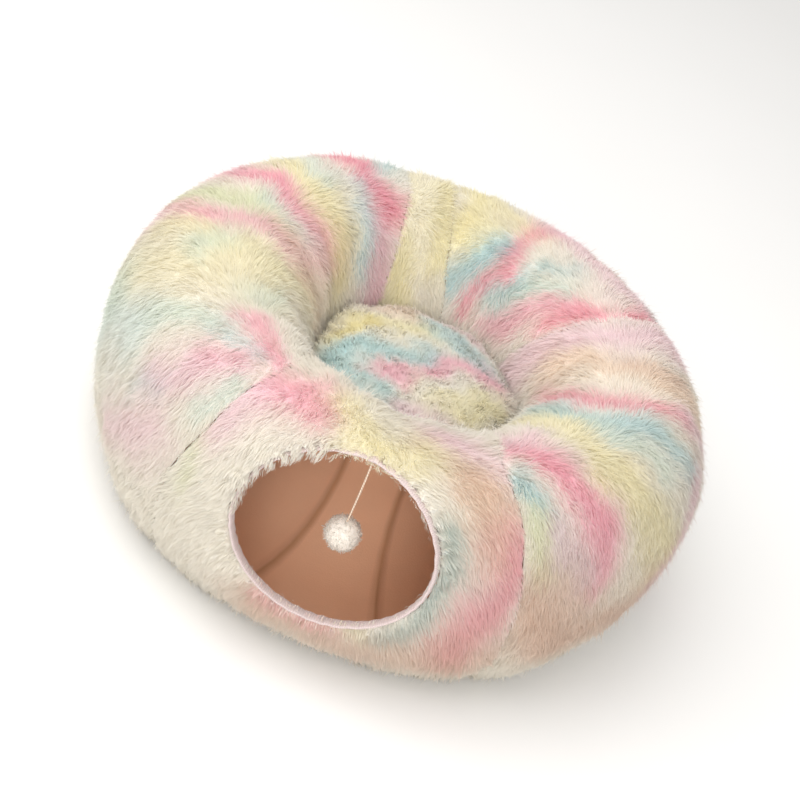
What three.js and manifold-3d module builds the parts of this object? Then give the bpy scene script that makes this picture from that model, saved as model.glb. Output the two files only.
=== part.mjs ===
// Cat hideaway bed: a plush ring that is a hollow tunnel with one round mouth, a stuffed cushion
// in its middle, and a pompom on a cord in the mouth.
// Millimetres, +Z up. The origin is on the floor under the middle of the cushion, the mouth faces -Y.
// "turn" is the angle round the ring in degrees: 0 at the mouth, growing towards +X.
// "roll" is the angle round the tunnel's wall: 0 at its widest, 90 at the crest, 180 in the well.

import * as THREE from 'three';
import { mergeVertices } from 'three/addons/utils/BufferGeometryUtils.js';
import Module from 'manifold-3d';

const wasm = await Module();
wasm.setup();

// Ring, measured over the pile
const OUTER_RADIUS = 308;
const CREST_RADIUS = 227;
const WAIST_RADIUS = 103;
const RING_HEIGHT = 232;
const WIDEST_HEIGHT = 108;
const FLOOR_SAG = 8;
const SECTION_SQUARENESS = 2.15;
const WALL = 10.5;
const ROWS = 24;
const COLUMN_STEP = 6;
const TUFT_RELIEF = 2.4;

// Seams between the plush panels: the groove is deep in the well and shallow outside
const SEAM_GAP = 0.4;
const SEAM_DEPTH = 8.6;
const SEAM_WIDTH = 17;
const SEAM_COLUMNS = [0, 1.6, 4.6];
const SEAM_SHALLOW_SHARE = 0.45;
const SEAM_DEEP_FROM = 0.4;
const SEAM_DEEP_FULL = 1.2;

// Lining
const LINING_GAP = 0.9;
const LINING_THICKNESS = 2;
const LINING_SEAM_RISE = 2.6;
const LINING_SEAM_HALF_WIDTH = 1.2;
const LINING_COLUMNS_BETWEEN = 2;
const LINING_ROWS = ROWS / 2;
const LINING_SEAMS_UNSEEN = 8;

// Mouth: an upright oval hole in the outer wall, leaning back
const MOUTH_WIDTH = 176;
const MOUTH_HEIGHT = 152;
const MOUTH_LEAN = 18;
const MOUTH_RADIUS = 286;
const MOUTH_CENTRE_HEIGHT = 149.5;
const MOUTH_CUT_REACH = 75;
const MOUTH_SIDES = 48;
const BINDING_THICKNESS = 6;
const BINDING_WIDTH = 18.5;
const BINDING_SIDES = 8;
const BINDING_GAP = 0.5;
const BINDING_SINK = 3;

// Pile locks round the mouth's edge, rooted in the front panel
const LOCK_COUNT = 44;
const LOCK_ROOT_RADIUS = 4;
const LOCK_ROOT_MARGIN = 12.5;
const LOCK_ROOT_DEPTH = 4;
const LOCK_RISE = 12;
const LOCK_INWARD = { mean: 2, swing: 6, share: 0.38 };
const LOCK_UNEVEN = 3;
const LOCK_SIDE_LEAN = 0.006;

// Cushion
const CUSHION_EDGE_HEIGHT = 147;
const CUSHION_CROWN_HEIGHT = 166;
const CUSHION_GAP = 1.1;
const CUSHION_BASE_RADIUS = 86;
const CUSHION_SKIRT_RADIUS = 96;
const CUSHION_SKIRT_HEIGHT = 45;
const CUSHION_TUFT_RELIEF = 1.4;
const CUSHION_CROWN_FLATNESS = 4;
const CUSHION_CROWN_ROUNDNESS = 0.6;
const CUSHION_TUCK_SHARPNESS = 6;
const CUSHION_COLUMNS = 40;

// Toy
const CORD_DIAMETER = 1.8;
const CORD_SIDES = 8;
const CORD_STEPS = 16;
const CORD_SIDEWAYS = 3.7;
const POMPOM_RADIUS = 18.4;
const POMPOM_CORE_RADIUS = 12.5;
const POMPOM_DETAIL = 2;
const POMPOM_UNEVEN = 0.09;
const TOY_GAP = 0.3;

// Halving steps of the searches along a curve, and the rolls between which the well's wall lies
const SEARCH_STEPS = 30;
const WELL_WALL = { fromRoll: 120, toRoll: 240 };

// Where each seam runs: its turn at each of the rolls, from the outside up over the crest
const SEAM_ROLLS = [0, 45, 95, 125, 170, 270];
const SEAMS = {
  frontLeft: [-32, -28, -27, -34, -40, -35],
  frontRight: [35, 32, 29, 36, 42, 36],
  right: [127, 126, 125.5, 128, 140, 131],
  backRight: [188, 190, 190, 188, 179, 184],
  backLeft: [203, 203, 203, 207.5, 215, 209],
};

const PANELS = [
  { name: 'shell_front', from: 'frontLeft', to: 'frontRight', shift: 0 },
  { name: 'shell_right', from: 'frontRight', to: 'right', shift: 0 },
  { name: 'shell_back_right', from: 'right', to: 'backRight', shift: 0 },
  { name: 'shell_back_strip', from: 'backRight', to: 'backLeft', shift: 0 },
  { name: 'shell_left', from: 'backLeft', to: 'frontLeft', shift: 360 },
];

// Soft swellings and hollows of the stuffed wall
const LUMPS = [
  { turn: -134, roll: 60, along: 22, across: 40, rise: 3 },
  { turn: -102, roll: 42, along: 18, across: 40, rise: 2 },
  { turn: 116, roll: 56, along: 20, across: 40, rise: -2 },
  { turn: 85, roll: 15, along: 16, across: 40, rise: 3 },
  { turn: 62, roll: 332, along: 14, across: 30, rise: -3 },
  { turn: 42, roll: 318, along: 14, across: 28, rise: 5 },
  { turn: -2, roll: 312, along: 24, across: 24, rise: -5 },
  { turn: -36, roll: 316, along: 12, across: 28, rise: 5 },
  { turn: -64, roll: 338, along: 14, across: 30, rise: -3 },
  { turn: -42, roll: 108, along: 9, across: 16, rise: 6 },
  { turn: 46, roll: 112, along: 12, across: 26, rise: 5 },
  { turn: -92, roll: 160, along: 18, across: 30, rise: 7 },
  { turn: -140, roll: 130, along: 10, across: 30, rise: 5 },
  { turn: 72, roll: 150, along: 12, across: 24, rise: 5 },
  { turn: 118, roll: 152, along: 9, across: 26, rise: 5 },
  { turn: 158, roll: 132, along: 12, across: 30, rise: 5 },
  { turn: 2, roll: 112, along: 20, across: 20, rise: -4 },
];

// Creases: soft troughs in the pile, each from one place on the wall to another
const FOLDS = [
  { fromTurn: -128, fromRoll: 182, toTurn: -121, toRoll: 140, width: 11, depth: 8 },
  { fromTurn: -146, fromRoll: 96, toTurn: -136, toRoll: 150, width: 16, depth: 5 },
  { fromTurn: 83, fromRoll: 104, toTurn: 85, toRoll: 130, width: 14, depth: 5 },
  { fromTurn: 85, fromRoll: 130, toTurn: 104, toRoll: 180, width: 11, depth: 9 },
  { fromTurn: 148, fromRoll: 98, toTurn: 152, toRoll: 165, width: 15, depth: 5 },
  { fromTurn: 168, fromRoll: 95, toTurn: 166, toRoll: 160, width: 13, depth: 4 },
  { fromTurn: -27, fromRoll: 96, toTurn: -46, toRoll: 99, width: 13, depth: 5 },
  { fromTurn: -62, fromRoll: 92, toTurn: -52, toRoll: 124, width: 16, depth: 5 },
  { fromTurn: -88, fromRoll: 70, toTurn: -100, toRoll: 125, width: 22, depth: 4 },
  { fromTurn: 38, fromRoll: 58, toTurn: 34, toRoll: 88, width: 14, depth: 4 },
];

// The two lining seams that show in the mouth lean a little: turn at the well side and at the floor
const LINING_SEAMS_SEEN = [
  { wellTurn: -11, floorTurn: -18 },
  { wellTurn: 17, floorTurn: 16 },
];

// The hanging cord, from its knot under the binding down to the pompom
const CORD_ROUTE = [
  { x: 0, y: 0, z: 0 },
  { x: 0.3, y: 0, z: -22 },
  { x: 0.1, y: 0.3, z: -48 },
  { x: -0.4, y: 0.2, z: -74 },
];

// Tucks where the cushion's edge is caught against the wall
const CUSHION_TUCKS = [
  { turn: 180, width: 12, depth: 9 },
  { turn: -128, width: 14, depth: 7 },
  { turn: 140, width: 12, depth: 8 },
  { turn: 102, width: 11, depth: 8 },
  { turn: -58, width: 16, depth: 5 },
  { turn: 20, width: 18, depth: 5 },
];

// The cushion's side, from its flat underside to the height where it meets the wall
const CUSHION_SIDE_HEIGHTS = [8, 30, 60, 90, 112, 132];
const CUSHION_TOP_SHARES = [0.985, 0.9, 0.76, 0.58, 0.38, 0.18];

const rad = THREE.MathUtils.degToRad;

function signedPower(value, power) {
  return Math.sign(value) * Math.abs(value) ** power;
}

// A point of the tunnel's section, drawn in from the pile's surface by inset (out if negative)
function sectionPoint(roll, inset) {
  const across = Math.cos(rad(roll));
  const up = Math.sin(rad(roll));
  const acrossReach = across > 0 ? OUTER_RADIUS - CREST_RADIUS : CREST_RADIUS - WAIST_RADIUS;
  const upReach = up > 0 ? RING_HEIGHT - WIDEST_HEIGHT : WIDEST_HEIGHT + FLOOR_SAG;
  const power = 2 / SECTION_SQUARENESS;
  const height = WIDEST_HEIGHT + (upReach - inset) * signedPower(up, power);
  return {
    radius: CREST_RADIUS + (acrossReach - inset) * signedPower(across, power),
    height: Math.max(height, Math.max(inset, 0)),
  };
}

// Evenly spread angles in degrees
function anglesRound(count) {
  return Array.from({ length: count }, (_, i) => (360 * i) / count);
}

function ringPoint(turn, radius, height) {
  return new THREE.Vector3(radius * Math.sin(rad(turn)), -radius * Math.cos(rad(turn)), height);
}

function angleBetween(a, b) {
  return THREE.MathUtils.euclideanModulo(a - b + 180, 360) - 180;
}

function lumpRelief(turn, roll) {
  return LUMPS.reduce((sum, lump) => {
    const along = angleBetween(turn, lump.turn) / lump.along;
    const across = angleBetween(roll, lump.roll) / lump.across;
    return sum + lump.rise * Math.exp(-along * along - across * across);
  }, 0);
}

// Millimetres along the wall for one degree of turn and one degree of roll
function wallScale(roll) {
  return new THREE.Vector2(rad(sectionPoint(roll, 0).radius), rad(CREST_RADIUS - WAIST_RADIUS));
}

function foldRelief(turn, roll) {
  const scale = wallScale(roll);
  return FOLDS.reduce((sum, fold) => {
    const start = new THREE.Vector2(angleBetween(turn, fold.fromTurn), angleBetween(roll, fold.fromRoll));
    const run = new THREE.Vector2(fold.toTurn - fold.fromTurn, fold.toRoll - fold.fromRoll);
    start.multiply(scale);
    run.multiply(scale);
    const share = THREE.MathUtils.clamp(start.dot(run) / run.lengthSq(), 0, 1);
    const away = start.sub(run.multiplyScalar(share)).length() / fold.width;
    return sum - fold.depth * Math.exp(-away * away);
  }, 0);
}

// An uneven value from -1 to 1 for each place on the wall, the same at every run
function tuft(turn, roll) {
  const mixed = Math.sin(Math.round(turn) * 12.9898 + Math.round(roll) * 78.233) * 43758.5453;
  return 2 * (mixed - Math.floor(mixed)) - 1;
}

function seamTurn(name, roll) {
  const turns = SEAMS[name];
  const angle = THREE.MathUtils.euclideanModulo(roll, 360);
  const rolls = [...SEAM_ROLLS, 360];
  const next = Math.max(rolls.findIndex((value) => value >= angle), 1);
  const share = (angle - rolls[next - 1]) / (rolls[next] - rolls[next - 1]);
  const smooth = share * share * (3 - 2 * share);
  return THREE.MathUtils.lerp(turns[next - 1], turns[next % turns.length], smooth);
}

// How far the pile stands out of the plain section at one place of a panel
function pileRelief(turn, roll, seamDistance) {
  const near = seamDistance / SEAM_WIDTH;
  const facingWell = Math.sin(rad(roll)) - Math.cos(rad(roll));
  const inWell = THREE.MathUtils.smoothstep(facingWell, SEAM_DEEP_FROM, SEAM_DEEP_FULL);
  const depth = SEAM_DEPTH * THREE.MathUtils.lerp(SEAM_SHALLOW_SHARE, 1, inWell);
  const groove = depth * Math.exp(-near * near);
  const tufts = TUFT_RELIEF * tuft(turn, roll) * (1 - Math.exp(-near * near));
  return lumpRelief(turn, roll) + foldRelief(turn, roll) + tufts - groove;
}

// Columns of a panel: each a share of its width, close together beside the two seams
function panelShares(width) {
  const start = SEAM_COLUMNS.at(-1);
  const plain = width - 2 * start;
  const count = Math.max(Math.round(plain / COLUMN_STEP), 2);
  const middle = Array.from({ length: count - 1 }, (_, i) => start + (plain * (i + 1)) / count);
  const ends = SEAM_COLUMNS.map((value) => width - value).reverse();
  return [...SEAM_COLUMNS, ...middle, ...ends].map((value) => value / width);
}

// Two triangles over four points, given anticlockwise as seen from outside
function addQuad(indices, first, second, third, fourth) {
  indices.push(first, second, third, first, third, fourth);
}

// A thick-walled tube from two grids of points [column][row]; closed if its last column meets the first
function tubeGeometry(outer, inner, closed) {
  const columns = outer.length;
  const rows = outer[0].length;
  const positions = [...outer.flat(), ...inner.flat()].flatMap((point) => point.toArray());
  const indices = [];
  const out = (column, row) => (column % columns) * rows + (row % rows);
  const into = (column, row) => columns * rows + out(column, row);
  const bays = closed ? columns : columns - 1;
  for (let row = 0; row < rows; row += 1) {
    for (let column = 0; column < bays; column += 1) {
      const next = column + 1;
      addQuad(indices, out(column, row), out(next, row), out(next, row + 1), out(column, row + 1));
      addQuad(indices, into(column, row), into(column, row + 1), into(next, row + 1), into(next, row));
    }
    if (!closed) {
      addQuad(indices, out(0, row), out(0, row + 1), into(0, row + 1), into(0, row));
      addQuad(indices, out(bays, row), into(bays, row), into(bays, row + 1), out(bays, row + 1));
    }
  }
  return indexedGeometry(positions, indices);
}

function indexedGeometry(positions, indices) {
  const geometry = new THREE.BufferGeometry();
  geometry.setAttribute('position', new THREE.Float32BufferAttribute(positions, 3));
  geometry.setIndex(indices);
  geometry.computeVertexNormals();
  return geometry;
}

function toManifold(source) {
  const plain = source.clone();
  plain.deleteAttribute('normal');
  plain.deleteAttribute('uv');
  const merged = mergeVertices(plain);
  const vertProperties = new Float32Array(merged.getAttribute('position').array);
  const triVerts = new Uint32Array(merged.getIndex().array);
  return new wasm.Manifold(new wasm.Mesh({ numProp: 3, vertProperties, triVerts }));
}

function fromManifold(solid) {
  const { vertProperties, triVerts } = solid.getMesh();
  return indexedGeometry(Array.from(vertProperties), Array.from(triVerts));
}

function panelGeometry(panel) {
  const turnAt = (share, roll) => {
    const start = seamTurn(panel.from, roll);
    const end = seamTurn(panel.to, roll) + panel.shift;
    return THREE.MathUtils.lerp(start, end, share);
  };
  const shares = panelShares(turnAt(1, 90) - turnAt(0, 90));
  const grid = (insetAt) => shares.map((share) => anglesRound(ROWS).map((roll) => {
    const radius = sectionPoint(roll, 0).radius;
    const turn = turnAt(share, roll);
    const fromStart = rad(turn - turnAt(0, roll)) * radius;
    const toEnd = rad(turnAt(1, roll) - turn) * radius;
    const point = sectionPoint(roll, insetAt(turn, roll, Math.min(fromStart, toEnd)));
    const halfGap = THREE.MathUtils.radToDeg(SEAM_GAP / 2 / point.radius);
    const trim = { 0: halfGap, 1: -halfGap }[share] ?? 0;
    return ringPoint(turn + trim, point.radius, point.height);
  }));
  const outer = grid((turn, roll, seamDistance) => -pileRelief(turn, roll, seamDistance));
  const inner = grid(() => WALL);
  return tubeGeometry(outer, inner, false);
}

// The mouth's own axes: across, up along its leaning plane, and out of the ring
function mouthAxes() {
  const lean = rad(MOUTH_LEAN);
  return {
    centre: new THREE.Vector3(0, -MOUTH_RADIUS, MOUTH_CENTRE_HEIGHT),
    across: new THREE.Vector3(1, 0, 0),
    up: new THREE.Vector3(0, Math.sin(lean), Math.cos(lean)),
    out: new THREE.Vector3(0, -Math.cos(lean), Math.sin(lean)),
  };
}

// A point of the mouth's oval, grown all round by margin and moved out by depth
function mouthPoint(share, margin, depth) {
  const axes = mouthAxes();
  const angle = 2 * Math.PI * share;
  return axes.centre.clone()
    .addScaledVector(axes.across, (MOUTH_WIDTH / 2 + margin) * Math.cos(angle))
    .addScaledVector(axes.up, (MOUTH_HEIGHT / 2 + margin) * Math.sin(angle))
    .addScaledVector(axes.out, depth);
}

function mouthCutter() {
  const margin = BINDING_THICKNESS + BINDING_GAP;
  const shares = Array.from({ length: MOUTH_SIDES }, (_, i) => i / MOUTH_SIDES);
  const ring = (depth) => shares.map((share) => mouthPoint(share, margin, depth));
  const back = ring(-MOUTH_CUT_REACH);
  const front = ring(MOUTH_CUT_REACH);
  const middles = [back, front].map((points) => {
    const sum = points.reduce((total, point) => total.add(point), new THREE.Vector3());
    return sum.divideScalar(MOUTH_SIDES);
  });
  const positions = [...back, ...front, ...middles].flatMap((point) => point.toArray());
  const indices = [];
  for (let i = 0; i < MOUTH_SIDES; i += 1) {
    const next = (i + 1) % MOUTH_SIDES;
    addQuad(indices, i, next, next + MOUTH_SIDES, i + MOUTH_SIDES);
    indices.push(2 * MOUTH_SIDES, next, i);
    indices.push(2 * MOUTH_SIDES + 1, i + MOUTH_SIDES, next + MOUTH_SIDES);
  }
  return toManifold(indexedGeometry(positions, indices));
}

// How far a point lies outside (or inside, if negative) the plain section of the ring
function outsideBy(point) {
  const across = Math.hypot(point.x, point.y) - CREST_RADIUS;
  const up = point.z - WIDEST_HEIGHT;
  const acrossReach = across > 0 ? OUTER_RADIUS - CREST_RADIUS : CREST_RADIUS - WAIST_RADIUS;
  const upReach = up > 0 ? RING_HEIGHT - WIDEST_HEIGHT : WIDEST_HEIGHT + FLOOR_SAG;
  const acrossTerm = Math.abs(across / acrossReach) ** SECTION_SQUARENESS;
  const upTerm = Math.abs(up / upReach) ** SECTION_SQUARENESS;
  const size = (acrossTerm + upTerm) ** (1 / SECTION_SQUARENESS);
  return (Math.hypot(across, up) * (size - 1)) / size;
}

// Depth along the mouth's axis at which its oval lies so far outside the plain section
function mouthDepth(share, margin, outside) {
  let low = -MOUTH_CUT_REACH;
  let high = MOUTH_CUT_REACH;
  for (let step = 0; step < SEARCH_STEPS; step += 1) {
    const middle = (low + high) / 2;
    if (outsideBy(mouthPoint(share, margin, middle)) < outside) {
      low = middle;
    } else {
      high = middle;
    }
  }
  return low;
}

function bindingDepth(share) {
  return mouthDepth(share, BINDING_THICKNESS / 2, -WALL / 2 - BINDING_SINK);
}

// The binding is a flat tube that follows the mouth's edge all round
function bindingGeometry() {
  const positions = [];
  const indices = [];
  for (let i = 0; i < MOUTH_SIDES; i += 1) {
    const share = i / MOUTH_SIDES;
    const depth = bindingDepth(share);
    for (let side = 0; side < BINDING_SIDES; side += 1) {
      const angle = (2 * Math.PI * side) / BINDING_SIDES;
      const margin = (BINDING_THICKNESS / 2) * (1 + Math.cos(angle));
      const point = mouthPoint(share, margin, depth + (BINDING_WIDTH / 2) * Math.sin(angle));
      positions.push(...point.toArray());
      const next = (i + 1) % MOUTH_SIDES;
      const beside = (side + 1) % BINDING_SIDES;
      const here = i * BINDING_SIDES;
      const there = next * BINDING_SIDES;
      addQuad(indices, here + side, there + side, there + beside, here + beside);
    }
  }
  return indexedGeometry(positions, indices);
}

// One lock of pile: a three-sided point whose root is sunk in the wall
function lockSolid(share, uneven) {
  const swing = LOCK_INWARD.swing * Math.cos(2 * Math.PI * (share - LOCK_INWARD.share));
  const tipMargin = LOCK_ROOT_MARGIN - LOCK_INWARD.mean - swing + LOCK_UNEVEN * uneven;
  const rise = LOCK_RISE + LOCK_UNEVEN * uneven;
  const surface = mouthDepth(share, LOCK_ROOT_MARGIN, 0);
  const root = mouthPoint(share, LOCK_ROOT_MARGIN, surface - LOCK_ROOT_DEPTH);
  const tip = mouthPoint(share + LOCK_SIDE_LEAN * uneven, tipMargin, surface + rise);
  const inside = mouthPoint(share, LOCK_ROOT_MARGIN, 0);
  const outward = mouthPoint(share, LOCK_ROOT_MARGIN + 1, 0).sub(inside).normalize();
  const beside = new THREE.Vector3().crossVectors(outward, mouthAxes().out).normalize();
  const corners = [0, 1, 2].map((side) => {
    const angle = (2 * Math.PI * side) / 3;
    return root.clone()
      .addScaledVector(outward, LOCK_ROOT_RADIUS * Math.cos(angle))
      .addScaledVector(beside, LOCK_ROOT_RADIUS * Math.sin(angle));
  });
  const positions = [...corners, tip].flatMap((point) => point.toArray());
  return toManifold(indexedGeometry(positions, [0, 1, 2, 0, 3, 1, 1, 3, 2, 2, 3, 0]));
}

function withMouth(panel, cutter) {
  let solid = toManifold(panel).subtract(cutter);
  for (let i = 0; i < LOCK_COUNT; i += 1) {
    solid = solid.add(lockSolid(i / LOCK_COUNT, tuft(i, 0)));
  }
  return fromManifold(solid);
}

// Turn of every lining seam at one roll: the two that show, and the rest spread evenly behind them
function liningSeamTurns(roll) {
  const towardsFloor = (1 + Math.cos(rad(roll))) / 2;
  const [left, right] = LINING_SEAMS_SEEN.map(
    (seam) => THREE.MathUtils.lerp(seam.wellTurn, seam.floorTurn, towardsFloor),
  );
  const step = (360 + left - right) / (LINING_SEAMS_UNSEEN + 1);
  const unseen = Array.from({ length: LINING_SEAMS_UNSEEN }, (_, i) => right + step * (i + 1));
  return [left, right, ...unseen];
}

// Columns of the lining: three on each seam's ridge and a few in the bay behind it
function liningColumns(roll) {
  const seams = liningSeamTurns(roll);
  return seams.flatMap((turn, i) => {
    const next = i + 1 < seams.length ? seams[i + 1] : seams[0] + 360;
    const ridge = [-1, 0, 1].map((side) => ({
      turn: turn + side * LINING_SEAM_HALF_WIDTH,
      rise: side === 0 ? LINING_SEAM_RISE : 0,
    }));
    const bay = Array.from({ length: LINING_COLUMNS_BETWEEN }, (_, k) => ({
      turn: THREE.MathUtils.lerp(turn, next, (k + 1) / (LINING_COLUMNS_BETWEEN + 1)),
      rise: 0,
    }));
    return [...ridge, ...bay];
  });
}

function liningGeometry(cutter) {
  const perRoll = anglesRound(LINING_ROWS).map((roll) => ({ roll, columns: liningColumns(roll) }));
  const grid = (inset, ridged) => perRoll[0].columns.map((_, column) => perRoll.map((row) => {
    const { turn, rise } = row.columns[column];
    const point = sectionPoint(row.roll, inset + (ridged ? rise : 0));
    return ringPoint(turn, point.radius, point.height);
  }));
  const outer = grid(WALL + LINING_GAP, false);
  const inner = grid(WALL + LINING_GAP + LINING_THICKNESS, true);
  const tube = toManifold(tubeGeometry(outer, inner, true));
  return fromManifold(tube.subtract(cutter));
}

// The well's radius at a height, measured on the wall with its lumps and creases
function wellRadius(turn, height) {
  const wallAt = (roll) => {
    const relief = lumpRelief(turn, roll) + foldRelief(turn, roll) + TUFT_RELIEF;
    return sectionPoint(roll, -relief);
  };
  let low = WELL_WALL.fromRoll;
  let high = WELL_WALL.toRoll;
  for (let step = 0; step < SEARCH_STEPS; step += 1) {
    const roll = (low + high) / 2;
    if (wallAt(roll).height > height) {
      low = roll;
    } else {
      high = roll;
    }
  }
  return wallAt(low).radius;
}

function cushionTuck(turn) {
  return CUSHION_TUCKS.reduce((sum, tuck) => {
    const away = angleBetween(turn, tuck.turn) / tuck.width;
    return sum + tuck.depth * Math.exp(-away * away);
  }, 0);
}

// One upright profile of the cushion, from its flat underside to its crown
function cushionProfile(turn) {
  const edge = wellRadius(turn, CUSHION_EDGE_HEIGHT) - CUSHION_GAP;
  const underside = [[CUSHION_BASE_RADIUS / 2, 0], [CUSHION_BASE_RADIUS, 0]];
  const side = CUSHION_SIDE_HEIGHTS.map((height) => {
    const limit = wellRadius(turn, height) - CUSHION_GAP;
    const plain = height < CUSHION_SKIRT_HEIGHT ? CUSHION_SKIRT_RADIUS : edge;
    return [Math.min(limit, plain), height];
  });
  const rise = CUSHION_CROWN_HEIGHT - CUSHION_EDGE_HEIGHT;
  const top = CUSHION_TOP_SHARES.map((share) => {
    const crown = rise * (1 - share ** CUSHION_CROWN_FLATNESS) ** CUSHION_CROWN_ROUNDNESS;
    const uneven = CUSHION_TUFT_RELIEF * share * tuft(turn, share * 90);
    const tuck = cushionTuck(turn) * share ** CUSHION_TUCK_SHARPNESS;
    return [edge * share, CUSHION_EDGE_HEIGHT + crown + uneven - tuck];
  });
  return [...underside, ...side, ...top];
}

function cushionGeometry() {
  const turns = anglesRound(CUSHION_COLUMNS);
  const profiles = turns.map((turn) => cushionProfile(turn));
  const rows = profiles[0].length;
  const positions = profiles.flatMap((profile, i) => profile.flatMap(([radius, height]) => (
    ringPoint(turns[i], radius, height).toArray()
  )));
  const bottom = CUSHION_COLUMNS * rows;
  positions.push(0, 0, 0, 0, 0, CUSHION_CROWN_HEIGHT);
  const indices = [];
  for (let i = 0; i < CUSHION_COLUMNS; i += 1) {
    const here = i * rows;
    const next = ((i + 1) % CUSHION_COLUMNS) * rows;
    indices.push(bottom, next, here);
    indices.push(bottom + 1, here + rows - 1, next + rows - 1);
    for (let row = 0; row < rows - 1; row += 1) {
      addQuad(indices, here + row, next + row, next + row + 1, here + row + 1);
    }
  }
  return indexedGeometry(positions, indices);
}

// The cord hangs straight down from the binding at the top of the mouth
function cordRoute() {
  const share = Math.acos(CORD_SIDEWAYS / (MOUTH_WIDTH / 2)) / (2 * Math.PI);
  const top = mouthPoint(share, 0, bindingDepth(share));
  top.z -= TOY_GAP;
  return CORD_ROUTE.map((point) => new THREE.Vector3(top.x + point.x, top.y + point.y, top.z + point.z));
}

function cordGeometry() {
  const outline = new THREE.Shape();
  for (let side = 0; side < CORD_SIDES; side += 1) {
    const angle = (2 * Math.PI * side) / CORD_SIDES;
    const x = (CORD_DIAMETER / 2) * Math.cos(angle);
    const y = (CORD_DIAMETER / 2) * Math.sin(angle);
    if (side === 0) {
      outline.moveTo(x, y);
    } else {
      outline.lineTo(x, y);
    }
  }
  outline.closePath();
  const extrudePath = new THREE.CatmullRomCurve3(cordRoute());
  return new THREE.ExtrudeGeometry(outline, { steps: CORD_STEPS, bevelEnabled: false, extrudePath });
}

// The pompom's core, turned until its first face lies level on top, where the cord comes in
function pompomCore() {
  const core = new THREE.IcosahedronGeometry(POMPOM_CORE_RADIUS, POMPOM_DETAIL);
  core.deleteAttribute('normal');
  core.deleteAttribute('uv');
  const place = core.getAttribute('position');
  const corners = [0, 1, 2].map((corner) => new THREE.Vector3().fromBufferAttribute(place, corner));
  const facing = new THREE.Triangle(...corners).getNormal(new THREE.Vector3());
  core.applyQuaternion(new THREE.Quaternion().setFromUnitVectors(facing, new THREE.Vector3(0, 0, 1)));
  return mergeVertices(core);
}

// A ball of yarn: every face of the core but the one under the cord is drawn out into one lock
function pompomGeometry() {
  const core = pompomCore();
  const place = core.getAttribute('position');
  const faces = core.getIndex().array;
  const positions = Array.from(place.array);
  const indices = [faces[0], faces[1], faces[2]];
  for (let face = 3; face < faces.length; face += 3) {
    const corners = [faces[face], faces[face + 1], faces[face + 2]];
    const points = corners.map((corner) => new THREE.Vector3().fromBufferAttribute(place, corner));
    const tip = points.reduce((sum, point) => sum.add(point), new THREE.Vector3()).normalize();
    const reach = POMPOM_RADIUS * (1 - POMPOM_UNEVEN * (1 + tuft(face, 0)));
    const apex = positions.length / 3;
    positions.push(...tip.multiplyScalar(reach).toArray());
    corners.forEach((corner, i) => indices.push(corner, corners[(i + 1) % 3], apex));
  }
  const end = cordRoute().at(-1);
  const seatHeight = place.getZ(faces[0]);
  return indexedGeometry(positions, indices).translate(end.x, end.y, end.z - TOY_GAP - seatHeight);
}

function addMesh(group, name, geometry, look) {
  const mesh = new THREE.Mesh(geometry, new THREE.MeshStandardMaterial({ metalness: 0, ...look }));
  mesh.name = name;
  group.add(mesh);
}

const PLUSH = { roughness: 0.95 };
const PANEL_COLOURS = {
  shell_front: 0xf3dfd2,
  shell_right: 0xf2dcc4,
  shell_back_right: 0xf1cfd0,
  shell_back_strip: 0xefe9c0,
  shell_left: 0xe9e6d6,
};

function buildBed() {
  const bed = new THREE.Group();
  const cutter = mouthCutter();
  for (const panel of PANELS) {
    const plain = panelGeometry(panel);
    const hasMouth = panel.name === 'shell_front';
    const geometry = hasMouth ? withMouth(plain, cutter) : plain;
    addMesh(bed, panel.name, geometry, { ...PLUSH, color: PANEL_COLOURS[panel.name] });
  }
  addMesh(bed, 'tunnel_lining', liningGeometry(cutter), { color: 0xcf9275, roughness: 0.85 });
  addMesh(bed, 'mouth_binding', bindingGeometry(), { color: 0xe4e0ea, roughness: 0.9 });
  addMesh(bed, 'centre_cushion', cushionGeometry(), { ...PLUSH, color: 0xd9dcc8 });
  addMesh(bed, 'toy_cord', cordGeometry(), { color: 0xe9dccb, roughness: 0.8 });
  addMesh(bed, 'toy_pompom', pompomGeometry(), { ...PLUSH, color: 0xf4efe8 });
  return bed;
}

export default buildBed();
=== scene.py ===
import math

import bpy
import numpy as np
from mathutils import Matrix, Vector, kdtree


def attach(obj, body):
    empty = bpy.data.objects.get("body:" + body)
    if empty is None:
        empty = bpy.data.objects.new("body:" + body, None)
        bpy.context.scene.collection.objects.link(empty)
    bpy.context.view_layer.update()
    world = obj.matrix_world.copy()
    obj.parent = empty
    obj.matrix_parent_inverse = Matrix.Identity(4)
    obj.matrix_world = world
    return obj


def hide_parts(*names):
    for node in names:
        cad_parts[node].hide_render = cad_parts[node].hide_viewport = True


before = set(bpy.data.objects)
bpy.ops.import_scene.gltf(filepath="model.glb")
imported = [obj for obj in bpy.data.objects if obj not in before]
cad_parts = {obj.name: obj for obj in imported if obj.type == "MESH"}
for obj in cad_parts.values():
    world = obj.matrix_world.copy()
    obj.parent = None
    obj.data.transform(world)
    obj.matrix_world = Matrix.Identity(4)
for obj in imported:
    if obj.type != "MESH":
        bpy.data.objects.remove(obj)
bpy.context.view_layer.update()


# Camera: it stands in front of the mouth, a little to the mouth's right, and looks down on the bed.
# It is tilted about its own line of sight, as in the photograph, so the bed's upright leans to the right.
CAMERA_TARGET = Vector((0, 0, 0.116))
CAMERA_DISTANCE = 1.6
CAMERA_ELEVATION = math.radians(35.4)
CAMERA_TURN = math.radians(1.4)
CAMERA_ROLL = math.radians(23)
FOCAL_PIXELS = 1608
FRAME_PIXELS = 800
SENSOR_WIDTH = 36
AXIS_RIGHT_PIXELS = 4.7
AXIS_UP_PIXELS = 5.8

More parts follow.
